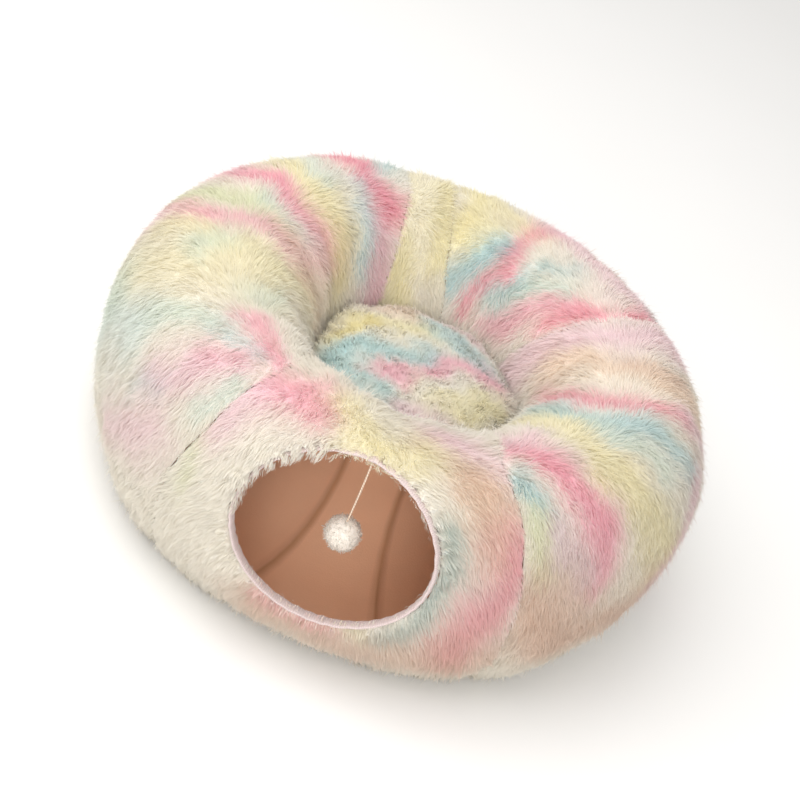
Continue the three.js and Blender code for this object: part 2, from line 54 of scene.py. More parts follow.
flat_way = Vector((math.sin(CAMERA_TURN), -math.cos(CAMERA_TURN), 0))
stand_off = flat_way * math.cos(CAMERA_ELEVATION) + Vector((0, 0, math.sin(CAMERA_ELEVATION)))
forward = -stand_off
level_right = forward.cross(Vector((0, 0, 1))).normalized()
level_up = level_right.cross(forward)
right = level_right * math.cos(CAMERA_ROLL) + level_up * math.sin(CAMERA_ROLL)
up = level_up * math.cos(CAMERA_ROLL) - level_right * math.sin(CAMERA_ROLL)
place = CAMERA_TARGET + stand_off * CAMERA_DISTANCE
bpy.ops.object.camera_add()
camera = bpy.context.active_object
camera.matrix_world = Matrix((
    (right.x, up.x, -forward.x, place.x),
    (right.y, up.y, -forward.y, place.y),
    (right.z, up.z, -forward.z, place.z),
    (0, 0, 0, 1),
))
camera.data.sensor_width = SENSOR_WIDTH
camera.data.lens = SENSOR_WIDTH * FOCAL_PIXELS / FRAME_PIXELS
camera.data.shift_x = -AXIS_RIGHT_PIXELS / FRAME_PIXELS
camera.data.shift_y = -AXIS_UP_PIXELS / FRAME_PIXELS
bpy.context.scene.camera = camera


# Toy cord: one thin twisted yarn cord, pale cream, sewn to the tape at the top of the mouth.
# It hangs straight down and goes in between the pompom's yarn ends.
CORD_TOP = Vector((0.0037, -0.2488, 0.2170))
CORD_ROUTE = [(0, 0, 0), (0.0003, 0, -0.022), (0.0001, 0.0003, -0.048), (-0.0004, 0.0002, -0.074)]
CORD_DIAMETER = 0.0018
CORD_POINTS_BETWEEN = 7
CORD_TWISTS_PER_METRE = 320


class Wire:
    """One output of a material's node. Arithmetic on it adds Math nodes."""

    def __init__(self, finish, socket):
        self.finish = finish
        self.socket = socket

    def maths(self, operation, *others):
        return self.finish.node("ShaderNodeMath", {"operation": operation}, dict(enumerate((self, *others))))

    def __add__(self, other):
        return self.maths("ADD", other)

    def __sub__(self, other):
        return self.maths("SUBTRACT", other)

    def __mul__(self, other):
        return self.maths("MULTIPLY", other)


class Finish:
    """A material under construction, with its main shader."""

    def __init__(self, name, **sockets):
        self.material = bpy.data.materials.new(name)
        self.material.use_nodes = True
        self.tree = self.material.node_tree
        self.shader = self.tree.nodes["Principled BSDF"]
        self.set(**sockets)

    def set(self, **sockets):
        for key, value in sockets.items():
            self.plug(self.shader.inputs[key.replace("_", " ")], value)

    def plug(self, socket, value):
        if isinstance(value, Wire):
            self.tree.links.new(value.socket, socket)
        else:
            socket.default_value = value

    def node(self, kind, settings=None, sockets=None, output=0):
        made = self.tree.nodes.new(kind)
        for key, value in (settings or {}).items():
            setattr(made, key, value)
        for key, value in (sockets or {}).items():
            self.plug(made.inputs[key], value)
        return Wire(self, made.outputs[output])

    def place(self):
        return self.node("ShaderNodeTexCoord", output="Object")

    def noise(self, scale, detail=2, vector=None):
        where = vector or self.place()
        return self.node("ShaderNodeTexNoise", None, {"Vector": where, "Scale": scale, "Detail": detail})

    def mixed(self, factor, first, second, blend="MIX"):
        return self.node(
            "ShaderNodeMix",
            {"data_type": "RGBA", "blend_type": blend},
            {0: factor, 6: first, 7: second},
            output=2,
        )

    def bumped(self, height, strength, distance):
        return self.node("ShaderNodeBump", None, {"Height": height, "Strength": strength, "Distance": distance})

    def let_through(self, share, colour):
        """Lets that share of the light through to the other side, as thin fibres do."""
        through = self.node("ShaderNodeBsdfTranslucent", None, {"Color": colour})
        mix = self.node("ShaderNodeMixShader", None, {0: share, 1: Wire(self, self.shader.outputs[0]), 2: through})
        self.plug(self.tree.nodes["Material Output"].inputs["Surface"], mix)

    def split(self, vector):
        made = self.tree.nodes.new("ShaderNodeSeparateXYZ")
        self.plug(made.inputs[0], vector)
        return [Wire(self, output) for output in made.outputs]


def linear(colour):
    """A colour as the eye names it, from 0 to 255, as the light it sends back."""
    shares = np.asarray(colour, float) / 255
    return np.where(shares <= 0.04045, shares / 12.92, ((shares + 0.055) / 1.055) ** 2.4)


def shade(colour, share=1.0):
    return (*(linear(colour) * share), 1)


bpy.ops.object.select_all(action="DESELECT")
route = [CORD_TOP + Vector(step) for step in CORD_ROUTE]
cord_points = []
for start, end in zip(route, route[1:]):
    for step in range(CORD_POINTS_BETWEEN):
        cord_points.append(start.lerp(end, step / CORD_POINTS_BETWEEN))
cord_points.append(route[-1])
cord_curve = bpy.data.curves.new("toy_cord_yarn", "CURVE")
cord_curve.dimensions = "3D"
cord_curve.bevel_depth = CORD_DIAMETER / 2
cord_curve.bevel_resolution = 3
cord_curve.use_fill_caps = True
spline = cord_curve.splines.new("POLY")
spline.points.add(len(cord_points) - 1)
for point, where in zip(spline.points, cord_points):
    point.co = (*where, 1)
cord = bpy.data.objects.new("toy_cord_yarn", cord_curve)
bpy.context.collection.objects.link(cord)

yarn = Finish("twisted_yarn", Roughness=0.85, Sheen_Weight=0.3)
x, y, z = yarn.split(yarn.place())
around = (y - CORD_TOP.y).maths("ARCTAN2", x - CORD_TOP.x)
twist = (around + z * (2 * math.pi * CORD_TWISTS_PER_METRE)).maths("SINE")
# The grooves between the twisted plies are painted darker brown as painted shade; the same value raises the plies
# in the bump.
ply_rise_and_groove_shade = twist * 0.5 + 0.5
yarn.set(
    Base_Color=yarn.mixed(ply_rise_and_groove_shade, shade((214, 184, 158)), shade((246, 226, 204))),
    Normal=yarn.bumped(ply_rise_and_groove_shade, 0.8, 0.0004),
)
cord_curve.materials.append(yarn.material)


# Pompom: a ball of cut white yarn on the cord's end. Its fluffy ends stand out all round a tied middle.
POMPOM_CENTRE = Vector((0.0035, -0.2478, 0.1309))
POMPOM_CORE = 0.0152
POMPOM_REACH = 0.0178
POMPOM_LOCKS = 4200
YARN_ROOTS = (0.8, 1.0)
YARN_ENDS = (0.86, 1.0)
YARN_SPREAD = 0.35
YARN_LEAN = 0.25
YARN_CURL = 0.0012
YARN_WIDTHS = (0.0003, 0.0006)
YARN_WHITE = (254, 249, 241)
YARN_LETS_THROUGH = 0.4
STRIP_SIDE = 0.08
STRIP_END = 0.06
STRIP_MIDDLE = 0.55
LOCK_MIDDLE_HALF = 0.42
LOCK_ROUNDING = 0.2


def unit(vectors):
    return vectors / np.maximum(np.linalg.norm(vectors, axis=1, keepdims=True), 1e-9)


def lay_out_map(mesh, order_by):
    """Gives every lock a narrow strip of its own on the map, beside those of its neighbours."""
    count = len(order_by[0])
    down = math.ceil(math.sqrt(count) / 2)
    across = math.ceil(count / down)
    columns = np.empty(count, int)
    columns[np.argsort(order_by[0], kind="stable")] = np.arange(count) // down
    ranks = np.lexsort((order_by[1], columns))
    rows = np.empty(count, int)
    rows[ranks] = np.arange(count) - columns[ranks] * down
    left = (columns + STRIP_SIDE) / across
    right_side = (columns + 1 - STRIP_SIDE) / across
    low = (rows + STRIP_END) / down
    high = (rows + 1 - STRIP_END) / down
    middle = low + (high - low) * STRIP_MIDDLE
    corners = np.stack([
        np.stack([left, low], 1), np.stack([right_side, low], 1),
        np.stack([right_side, middle], 1), np.stack([left, middle], 1),
        np.stack([left, middle], 1), np.stack([right_side, middle], 1),
        np.stack([(left + right_side) / 2, high], 1),
    ], 1)
    layer = mesh.uv_layers.new(name="OFBake")
    layer.uv.foreach_set("vector", corners.astype(np.float32).ravel())


def lock_mesh(name, roots, middles, tips, facing, widths, colours, order_by, soft_normals=0.7):
    """One mesh of curved pile locks: each a flat blade of two pieces that ends in a point."""
    count = len(roots)
    aside = unit(np.cross(middles - roots, facing))
    aside = np.where((np.cross(aside, middles - roots) * facing).sum(1, keepdims=True) < 0, -aside, aside)
    root_side = aside * widths[:, None] / 2
    middle_side = aside * widths[:, None] * LOCK_MIDDLE_HALF
    points = np.stack([
        roots - root_side, roots + root_side, middles + middle_side, middles - middle_side, tips,
    ], 1)
    corners = np.array([0, 1, 2, 3, 3, 2, 4]) + np.arange(count)[:, None] * 5
    mesh = bpy.data.meshes.new(name)
    mesh.vertices.add(count * 5)
    mesh.vertices.foreach_set("co", points.astype(np.float32).ravel())
    mesh.loops.add(count * 7)
    mesh.loops.foreach_set("vertex_index", corners.astype(np.int32).ravel())
    mesh.polygons.add(count * 2)
    starts = np.array([0, 4]) + np.arange(count)[:, None] * 7
    mesh.polygons.foreach_set("loop_start", starts.astype(np.int32).ravel())
    mesh.update(calc_edges=True)
    lay_out_map(mesh, order_by)
    dye = np.ones((count, 5, 4), np.float32)
    dye[:, :2, :3] = colours[0][:, None]
    dye[:, 2:4, :3] = colours[1][:, None]
    dye[:, 4, :3] = colours[2]
    layer = mesh.color_attributes.new("dye", "FLOAT_COLOR", "POINT")
    layer.data.foreach_set("color", dye.ravel())
    own = np.cross(aside, unit(tips - roots))
    smooth = unit(own * (1 - soft_normals) + facing * soft_normals)
    one_side, other_side = unit(smooth - LOCK_ROUNDING * aside), unit(smooth + LOCK_ROUNDING * aside)
    spread = np.stack([one_side, other_side, other_side, one_side, smooth], 1)
    mesh.normals_split_custom_set_from_vertices(spread.reshape(-1, 3).astype(float).tolist())
    made = bpy.data.objects.new(name, mesh)
    bpy.context.collection.objects.link(made)
    return made


def ripple(points, wavelength, seed):
    """A smooth uneven value, mostly between -1 and 1, that changes over about a wavelength."""
    chance = np.random.default_rng(seed)
    waves = unit(chance.normal(size=(9, 3))) * 2 * math.pi / wavelength
    waves *= chance.uniform(0.6, 1.5, size=(9, 1))
    phases = chance.uniform(0, 2 * math.pi, 9)
    return np.sin(points @ waves.T + phases).sum(1) / 3


def lock_colours(root, tip, chance):
    """Root, middle and tip colours of each lock, with a little chance from lock to lock."""
    own = chance.normal(1, 0.025, size=(len(root), 1))
    return [np.clip(colour * own, 0, 1) for colour in (root, (root + tip) / 2, tip)]


chance = np.random.default_rng(11)
ways = unit(chance.normal(size=(POMPOM_LOCKS, 3)))
lean = unit(ways + YARN_SPREAD * chance.normal(size=(POMPOM_LOCKS, 3)))
centre = np.array(POMPOM_CENTRE)
roots = centre + ways * POMPOM_CORE * chance.uniform(*YARN_ROOTS, size=(POMPOM_LOCKS, 1))
end_ways = unit(ways + YARN_LEAN * (lean - ways))
tips = centre + end_ways * POMPOM_REACH * chance.uniform(*YARN_ENDS, size=(POMPOM_LOCKS, 1))
middles = (roots + tips) / 2 + YARN_CURL * chance.normal(size=(POMPOM_LOCKS, 3))
white = np.tile(linear(YARN_WHITE), (POMPOM_LOCKS, 1))
pompom = lock_mesh(
    "toy_pompom_yarn", roots, middles, tips, unit(np.cross(ways, chance.normal(size=(POMPOM_LOCKS, 3)))),
    chance.uniform(*YARN_WIDTHS, POMPOM_LOCKS), lock_colours(white, white, chance),
    (np.arctan2(ways[:, 1], ways[:, 0]), ways[:, 2]), soft_normals=0.1,
)
bpy.ops.object.select_all(action="DESELECT")
bpy.ops.mesh.primitive_ico_sphere_add(subdivisions=3, radius=POMPOM_CORE, location=POMPOM_CENTRE)
pompom_core = bpy.context.active_object
pompom_core.name = "toy_pompom_middle"
bpy.ops.object.transform_apply(location=True)
bpy.ops.object.shade_smooth()

fluff = Finish("white_yarn_ends", Roughness=0.8, Sheen_Weight=0.4, Sheen_Roughness=0.4, Specular_IOR_Level=0.2)
yarn_dye = fluff.node("ShaderNodeAttribute", {"attribute_name": "dye"})
fluff.set(Base_Color=fluff.mixed(fluff.noise(700) * 0.12, yarn_dye, shade((246, 238, 228))))
fluff.let_through(YARN_LETS_THROUGH, shade(YARN_WHITE))
pompom.data.materials.append(fluff.material)
packed = Finish("packed_white_yarn", Roughness=0.9, Sheen_Weight=0.3)
packed.set(
    Base_Color=packed.mixed(packed.noise(900), shade((254, 248, 239)), shade((242, 232, 220))),
    Normal=packed.bumped(packed.noise(1400), 0.25, 0.0004),
)
pompom_core.data.materials.append(packed.material)
for piece in (pompom, pompom_core):
    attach(piece, "root")
    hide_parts("toy_pompom")
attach(cord, "root")
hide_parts("toy_cord")


# Plush panels: five pieces of long-pile plush over padding, sewn together round the tunnel.
# The pile is dyed in soft uneven streaks that run over the crest into the well; a few streaks are painted shade.
# Each panel is its cloth, drawn in under the pile's surface, and its pile, combed downhill and away from the
# mouth.
OUTER_RADIUS = 0.308
CREST_RADIUS = 0.227
WAIST_RADIUS = 0.103
RING_HEIGHT = 0.232
WIDEST_HEIGHT = 0.108
FLOOR_SAG = 0.008
SQUARENESS = 2.15
SECTION_RADIUS = 0.112
GATHERS = [166, 152, 139, 118, 104, 88, 70, 54, 20, 2, -14, -50, -66, -84, -99, -113, -131]
GATHER_RELIEF = 0.0022
GATHER_HALF_WIDTH = 0.008
GATHER_DEPTH = 2.2
GATHERS_FROM_ROLL = 78
GATHERS_FADE = 45
GATHER_WANDER = [(0.12, 81, 2.5)]
SEAM_ROLLS = [0, 45, 95, 125, 170, 270, 360]
SEAM_TURNS = {
    "front_left": [-32, -28, -27, -34, -40, -35, -32],
    "front_right": [35, 32, 29, 36, 42, 36, 35],
    "right": [127, 126, 125.5, 128, 140, 131, 127],
    "back_right": [188, 190, 190, 188, 179, 184, 188],
    "back_left": [203, 203, 203, 207.5, 215, 209, 203],
}
MOUTH_CENTRE = np.array([0, -0.286, 0.1495])
MOUTH_TILT = math.radians(18)
MOUTH_UP = np.array([0, math.sin(MOUTH_TILT), math.cos(MOUTH_TILT)])
MOUTH_HALF_WIDTH = 0.088
MOUTH_HALF_HEIGHT = 0.076
MOUTH_SIDE_OF_RING = -0.15
# Along the upper left of the mouth's edge, round this angle from its top, the pile hangs over the edge.
HANGING_SIDE = math.radians(56)
HANGING_FROM = 0.7
HANGING_FADE = 0.2

# Cloth: how far it is drawn in, and where it is not.
PILE_DEPTH = 0.0066
DEEPEST_CLOTH = 0.0098
OUTER_FACE_DEPTH = 0.0102
FLOOR_FADE = 0.025
FLAT_SHARE = 0.2
PRESSED_HEIGHT = 0.150
PRESSED_FADE = 0.016
PRESSED_SHARE = 0.75
WELL_ROLL = 120
RIM_CLEARANCE = 0.0008
RIM_REACH = 0.04
RIM_RISE = 0.002

# Pile: where it grows, how long, wide and bent its locks are, and how they gather in tufts.
LOCKS_PER_SQUARE_METRE = 390_000
HIDDEN_BELOW = 0.131
LOWEST_ROOT = 0.005
UNDERSIDE = -0.93
LOCK_LENGTH = 0.0122
LENGTH_CHANCE = 0.14
LENGTH_RIPPLES = [(0.03, 41, 0.13), (0.012, 42, 0.1)]
SHORTER_AT_SEAM = {"by": 0.3, "within": 0.006}
SHORTER_AT_EDGE = 0.5
STRAY_SHARE = 0.05
STRAY_LENGTH = 1.25
# Degrees from upright of a lock's first and last half: the least, more by the comb, less if stray, and chance.
LOCK_TILTS = [(28, 22, 16, 6), (52, 28, 24, 7)]
LOCK_WIDTHS = (0.00045, 0.00095)
FACING_CHANCE = 0.07
LOWEST_MIDDLE = 0.0012
LOWEST_TIP = 0.0008
TUFT_AREA = 60e-6
TUFT_PULL = 0.16
TUFT_CHANCE = (0.5, 1.2)
TUFT_SPREAD = 0.35
TUFT_BEND = 0.3
LONGEST_TUFT_STEP = 0.006

# Pile along the mouth's edge: it stands thicker there and reaches over the tape.
EDGE_HALF_WIDTH = 0.009
EDGE_THICKNESS = {"all_round": 0.8, "hanging": 2.6, "within": 0.008}
EDGE_RISE = {"all_round": 0.002, "hanging": 0.003}
EDGE_REACH = {"all_round": 0.0046, "hanging": 0.0024}
HANGING_BEND = {"out": 0.004, "over": 0.002}

# Comb: the ways in which the pile is brushed, and how strongly.
BRUSHED = np.array([0, -0.12, 0])
OFF_MOUTH = {"strength": 1.6, "at_edge": 1.8, "reach": 0.045}
TO_SEAM = {"strength": 0.45, "turns_within": 0.004, "reach": 0.016}
OVER_CREST = {"strength": 0.6, "until_roll": 116, "fade": 30}
# Along the crest's parting the pile lies towards the back on both sides.
TO_BACK = {"strength": 0.85, "roll": 107, "half_width": 18, "from_turn": -170, "front_turn": 158, "fade": 10}
SWIRLS = [(0.05, 21, 0.22), (0.014, 31, 0.2)]
SWIRL_CALMED = 0.4
COMB_CHANCE = 0.12
COMB_STRENGTH = (0.92, 1.2)

# Dye: how soft and how wavy the streaks are.
STREAK_SPREAD = 1.6
DYE_BLUR = 0.0035
TURN_WANDER = [(0.07, 3, 0.006), (0.022, 4, 0.003)]
ROLL_WANDER = [(0.08, 5, 4), (0.025, 6, 2)]
PILE_LETS_THROUGH = 0.45
THROUGH_COLOUR = (236, 230, 218)
DYES_AND_PAINTED_SHADES = {
    "cream": (253, 249, 239),
    "cool_white": (238, 250, 248),
    "yellow": (253, 245, 200),
    "strong_yellow": (243, 228, 150),
    "yellow_green": (231, 238, 200),
    "pink": (253, 192, 208),
    "strong_pink": (252, 162, 184),
    "soft_pink": (253, 223, 234),
    "mint": (222, 243, 235),
    "deep_peach": (240, 212, 190),
    "deep_pink": (242, 180, 188),
    "blue": (194, 226, 231),
    "teal": (190, 226, 228),
    "peach": (253, 231, 211),
    # Where beige lies low on the front it is partly dye and partly painted shade.
    "beige": (224, 186, 165),
    "violet": (236, 218, 226),
    # Mint greyed as painted shade, for the band where the pile curls into the mouth's right edge.
    "mint_in_painted_shade": (190, 204, 198),
}
# The streaks of each panel break off at its seams, because the panels are cut from different places of the cloth.
# A streak is its colour, half width in mm, strength, and the places on the ring that it runs along, each given as
# turn and roll in degrees. Most colours are dyes; the grey mint is painted shade, and the low beige partly so.
STREAKS = {
    "left": [
        ("yellow", 30, 0.5, [(-76, 12), (-66, 70), (-68, 110)]),
        ("yellow", 16, 0.6, [(-84, 60), (-78, 100), (-86, 140)]),
        ("mint", 9, 0.55, [(-71, 78), (-80, 97)]),
        ("mint", 9, 0.5, [(-66, 122), (-58, 108)]),
        ("mint", 10, 0.6, [(-58, 36), (-50, 66), (-45, 90)]),
        ("blue", 6, 0.7, [(-43, 80), (-37, 88), (-31, 90)]),
        ("pink", 9, 0.9, [(-45, 99), (-36, 100), (-26, 99)]),
        ("soft_pink", 14, 0.9, [(-43, 34), (-38, 58), (-32, 76)]),
        ("pink", 7, 0.5, [(-39, 62), (-34, 76)]),
        ("mint", 6, 0.6, [(-33, 40), (-29, 66)]),
        ("cool_white", 22, 0.85, [(-74, -6), (-66, 16), (-58, 28)]),
        ("soft_pink", 15, 0.7, [(-50, -6), (-38, 10)]),
        ("blue", 6, 0.4, [(-46, 20), (-42, 28)]),
        ("soft_pink", 14, 0.7, [(-94, 0), (-88, 40)]),
        ("mint", 20, 0.6, [(-80, 4), (-72, 24)]),
        ("pink", 9, 0.85, [(-99, 10), (-94, 40), (-87, 80), (-93, 106), (-99, 136)]),
        ("yellow_green", 10, 0.85, [(-104, 0), (-95, 58), (-99, 87), (-101, 106)]),
        ("mint", 8, 0.7, [(-104, 102), (-106, 124)]),
        ("peach", 13, 0.6, [(-98, 120), (-94, 156)]),
        ("pink", 14, 0.95, [(-108, 10), (-112, 78), (-114, 102), (-116, 140)]),
        ("strong_pink", 7, 0.5, [(-113, 76), (-114, 98)]),
        ("yellow", 13, 0.85, [(-122, 20), (-124, 88), (-125, 120), (-118, 154)]),
        ("mint", 9, 0.6, [(-131, 40), (-131, 90)]),
        ("blue", 9, 0.75, [(-139, 100), (-140, 120), (-136, 148)]),
        ("violet", 7, 0.7, [(-145, 118), (-144, 146), (-140, 164)]),
        ("pink", 7, 0.5, [(-146, 128), (-142, 164)]),
        ("strong_pink", 12, 0.95, [(-138, 60), (-143, 94), (-152, 118)]),
        ("soft_pink", 16, 0.7, [(-142, -30), (-140, 30)]),
        ("mint", 16, 0.7, [(-110, -40), (-118, 30)]),
        ("blue", 13, 0.75, [(-150, -40), (-154, 40), (-150, 84)]),
    ],
    "back_strip": [
        ("yellow", 24, 0.85, [(-164, 60), (-161, 120), (-158, 165)]),
        ("yellow", 9, 0.9, [(-154, 118), (-151, 146), (-154, 164)]),
        ("cream", 14, 0.9, [(-164, 60), (-162, 120), (-170, 160)]),
        ("yellow", 14, 0.8, [(-167, 92), (-168, 112), (-172, 134)]),
        ("yellow", 12, 0.6, [(-176, 20), (-178, 96)]),
        ("pink", 12, 0.75, [(-166, -40), (-172, 30)]),
    ],
    "back_right": [
        ("cream", 9, 0.8, [(-180, 60), (-181, 100)]),
        ("yellow", 16, 0.95, [(184, 66), (182, 104), (186, 116)]),
        ("yellow", 12, 0.7, [(174, 84), (164, 88)]),
        ("blue", 10, 0.95, [(170, 110), (176, 126), (181, 148)]),
        ("strong_pink", 6, 0.85, [(161, 70), (165, 104), (167, 136), (171, 160)]),
        ("blue", 7, 0.9, [(146, 100), (154, 116), (161, 142)]),
        ("mint", 6, 0.85, [(143, 114), (153, 131), (158, 146)]),
        ("cream", 5, 0.7, [(143, 92), (148, 110), (155, 124)]),
        ("pink", 8, 0.85, [(136, 116), (147, 140), (155, 160)]),
        ("soft_pink", 17, 0.85, [(160, 74), (140, 80), (128, 64)]),
        ("strong_pink", 9, 0.8, [(126, 76), (129, 104), (134, 134)]),
        ("blue", 12, 0.75, [(176, -40), (178, 40)]),
        ("pink", 13, 0.8, [(158, -40), (160, 60)]),
        ("yellow", 14, 0.8, [(142, -40), (146, 50)]),
        ("mint", 12, 0.7, [(128, -40), (130, 50)]),
    ],
    "right": [
        ("soft_pink", 18, 0.85, [(116, 30), (119, 80), (120, 130), (130, 160)]),
        ("peach", 14, 0.85, [(100, 40), (99, 94), (102, 116), (110, 140)]),
        ("beige", 9, 0.5, [(104, 70), (104, 104)]),
        ("strong_pink", 8, 0.8, [(90, 70), (84, 104), (82, 122), (94, 148)]),
        ("soft_pink", 10, 0.8, [(94, 20), (91, 70)]),
        ("blue", 10, 0.85, [(80, 50), (78, 88), (70, 108), (73, 142)]),
        ("mint", 9, 0.6, [(72, 60), (68, 96), (66, 132)]),
        ("yellow", 13, 0.75, [(72, 10), (60, 66), (58, 99), (60, 136)]),
        ("yellow", 10, 0.6, [(66, 4), (57, 52), (53, 88)]),
        ("pink", 14, 0.95, [(26, 113), (40, 101), (45, 76), (48, 48), (49, 22)]),
        ("strong_pink", 5, 0.45, [(38, 100), (46, 78), (50, 50)]),
        ("soft_pink", 14, 0.85, [(82, 40), (78, 12), (72, -6)]),
        ("blue", 8, 0.95, [(31, 82), (35, 66)]),
        ("yellow_green", 8, 0.8, [(34, 58), (36, 44), (38, 30)]),
        ("violet", 8, 0.8, [(38, 58), (42, 40), (46, 22)]),
        # The beige low on the front right is partly dye and partly painted shade on the downward-facing flank.
        ("beige", 26, 0.75, [(38, 12), (44, -8), (66, -14)]),
        ("yellow", 14, 0.8, [(106, -40), (108, 30)]),
        ("pink", 13, 0.7, [(92, -40), (96, 10)]),
        ("soft_pink", 10, 0.7, [(32, 118), (44, 112)]),
    ],
    "front": [
        ("strong_pink", 9, 0.5, [(-27, 78), (-24, 92), (-20, 102)]),
        ("pink", 15, 0.9, [(-27, 72), (-20, 90), (-14, 88)]),
        ("yellow", 15, 0.75, [(-8, 98), (1, 84), (10, 92)]),
        ("yellow", 10, 0.5, [(-4, 76), (8, 74)]),
        ("soft_pink", 10, 0.7, [(14, 108), (24, 106)]),
        ("deep_peach", 14, 0.95, [(20, 84), (24, 66), (28, 42)]),
        ("deep_pink", 17, 0.95, [(31, 40), (29, 14), (26, -14)]),
        ("cream", 18, 0.9, [(-24, 56), (-25, 32), (-24, 0)]),
        ("yellow_green", 7, 0.6, [(-30, 40), (-29, 22), (-28, 4)]),
        ("cream", 13, 0.8, [(-26, -6), (-14, -18)]),
        ("strong_pink", 8, 0.65, [(-7, -24), (4, -24)]),
        ("yellow_green", 6, 0.6, [(7, -14), (10, -20)]),
        # Mint pile greyed along the mouth's right edge: painted shade where the pile curls into the mouth.
        ("mint_in_painted_shade", 9, 0.9, [(19, 46), (20, 24), (18, 2), (14, -16)]),
        ("soft_pink", 15, 0.8, [(-27, 46), (-24, 72)]),
        # The beige low on the front is partly dye and partly painted shade on the downward-facing flank.
        ("beige", 24, 0.6, [(-8, -36), (14, -34), (34, -20)]),
        ("soft_pink", 12, 0.6, [(14, 108), (26, 96), (30, 78)]),
    ],
}


def ring_place(points):
    """Turn and roll of points on the ring in degrees, and how far they stand outside its plain section."""
    across = np.hypot(points[:, 0], points[:, 1]) - CREST_RADIUS
    high = points[:, 2] - WIDEST_HEIGHT
    across_share = across / np.where(across > 0, OUTER_RADIUS - CREST_RADIUS, CREST_RADIUS - WAIST_RADIUS)
    high_share = high / np.where(high > 0, RING_HEIGHT - WIDEST_HEIGHT, WIDEST_HEIGHT + FLOOR_SAG)
    cosine = np.sign(across_share) * np.abs(across_share) ** (SQUARENESS / 2)
    sine = np.sign(high_share) * np.abs(high_share) ** (SQUARENESS / 2)
    size = np.maximum((cosine ** 2 + sine ** 2) ** (1 / SQUARENESS), 1e-6)
    outside = np.hypot(across, high) * (size - 1) / size
    turn = np.degrees(np.arctan2(points[:, 0], -points[:, 1]))
    return turn, np.degrees(np.arctan2(sine, cosine)), outside


def angle_between(first, second):
    return (first - second + 180) % 360 - 180


def bell(values, half_width):
    """1 where the value is 0, fading away past the half width."""
    return np.exp(-((values / half_width) ** 2))


def ripples(points, rows, size=1):
    """Uneven values side by side. Each row gives their ripples' wavelength, first seed and height."""
    return sum(
        height * np.stack([ripple(points, wavelength, seed + step) for step in range(size)], 1)
        for wavelength, seed, height in rows
    )


def along_cloth(vectors, normals):
    """What is left of each vector along the cloth."""
    return vectors - normals * (vectors * normals).sum(1, keepdims=True)


def off_stroke(here, run):
    """How far each place is from a stroke that starts at 0 and ends at run."""
    share = np.clip((here * run).sum(1) / np.maximum((run * run).sum(-1), 1e-9), 0, 1)
    return np.linalg.norm(here - run * share[:, None], axis=1)


def on_section(turn, roll, radius):
    return np.stack([np.radians(turn) * radius, np.radians(roll) * SECTION_RADIUS], 1)


def ring_dye_and_painted_shade(points, panel_name):
    """The colour at each point: cream dyed cloth with the panel's streaks laid over it one after another. The grey
    mint streak is painted shade, and the low beige streaks are partly painted shade.
    """
    turn, roll, _ = ring_place(points)
    radius = np.hypot(points[:, 0], points[:, 1])
    turn = turn + np.degrees(ripples(points, TURN_WANDER)[:, 0] / radius)
    roll = roll + ripples(points, ROLL_WANDER)[:, 0]
    colour = np.tile(linear(DYES_AND_PAINTED_SHADES["cream"]), (len(points), 1))
    for dye, half_width, strength, along in STREAKS[panel_name]:
        nearest = np.full(len(points), 9.0)
        for start, end in zip(along, along[1:]):
            here = on_section(angle_between(turn, start[0]), angle_between(roll, start[1]), radius)
            run_roll = np.full(len(points), float(end[1] - start[1]))
            run = on_section(angle_between(end[0], start[0]), run_roll, radius)
            nearest = np.minimum(nearest, off_stroke(here, run))
        share = strength * bell(nearest * 1000, half_width * STREAK_SPREAD)[:, None]
        colour = colour * (1 - share) + linear(DYES_AND_PAINTED_SHADES[dye]) * share
    return colour


def seam_side(points):
    """Metres past the nearest seam, growing with the turn, and the way along the ring in which it grows."""
    turn, roll, _ = ring_place(points)
    nearest = np.full(len(points), 360.0)
    for turns in SEAM_TURNS.values():
        past = angle_between(turn, np.interp(roll % 360, SEAM_ROLLS, turns))
        nearest = np.where(np.abs(past) < np.abs(nearest), past, nearest)
    along = np.stack([np.cos(np.radians(turn)), np.sin(np.radians(turn)), np.zeros(len(turn))], 1)
    return np.radians(nearest) * np.hypot(points[:, 0], points[:, 1]), along


def mouth_places(points):
    """Metres outside the mouth's edge, the way out from its middle, and how much that way points up and left."""
    from_centre = points - MOUTH_CENTRE
    sideways = from_centre[:, 0] / MOUTH_HALF_WIDTH
    upwards = from_centre @ MOUTH_UP / MOUTH_HALF_HEIGHT
    size = np.maximum(np.hypot(sideways, upwards), 1e-6)
    away = (size - 1) * (MOUTH_HALF_WIDTH + MOUTH_HALF_HEIGHT) / 2
    way = unit(sideways[:, None] * np.array([1.0, 0, 0]) + upwards[:, None] * MOUTH_UP)
    up_and_left = way @ (MOUTH_UP * math.cos(HANGING_SIDE)) - way[:, 0] * math.sin(HANGING_SIDE)
    hanging = np.clip((up_and_left - HANGING_FROM) / HANGING_FADE, 0, 1)
    away = np.where(points[:, 1] > MOUTH_SIDE_OF_RING, 1.0, away)
    return away, way, hanging


def vertex_array(mesh):
    found = np.empty(len(mesh.vertices) * 3, np.float32)
    mesh.vertices.foreach_get("co", found)
    return found.reshape(-1, 3).astype(float)


def set_vertices(mesh, points):
    mesh.vertices.foreach_set("co", points.astype(np.float32).ravel())
    mesh.update()


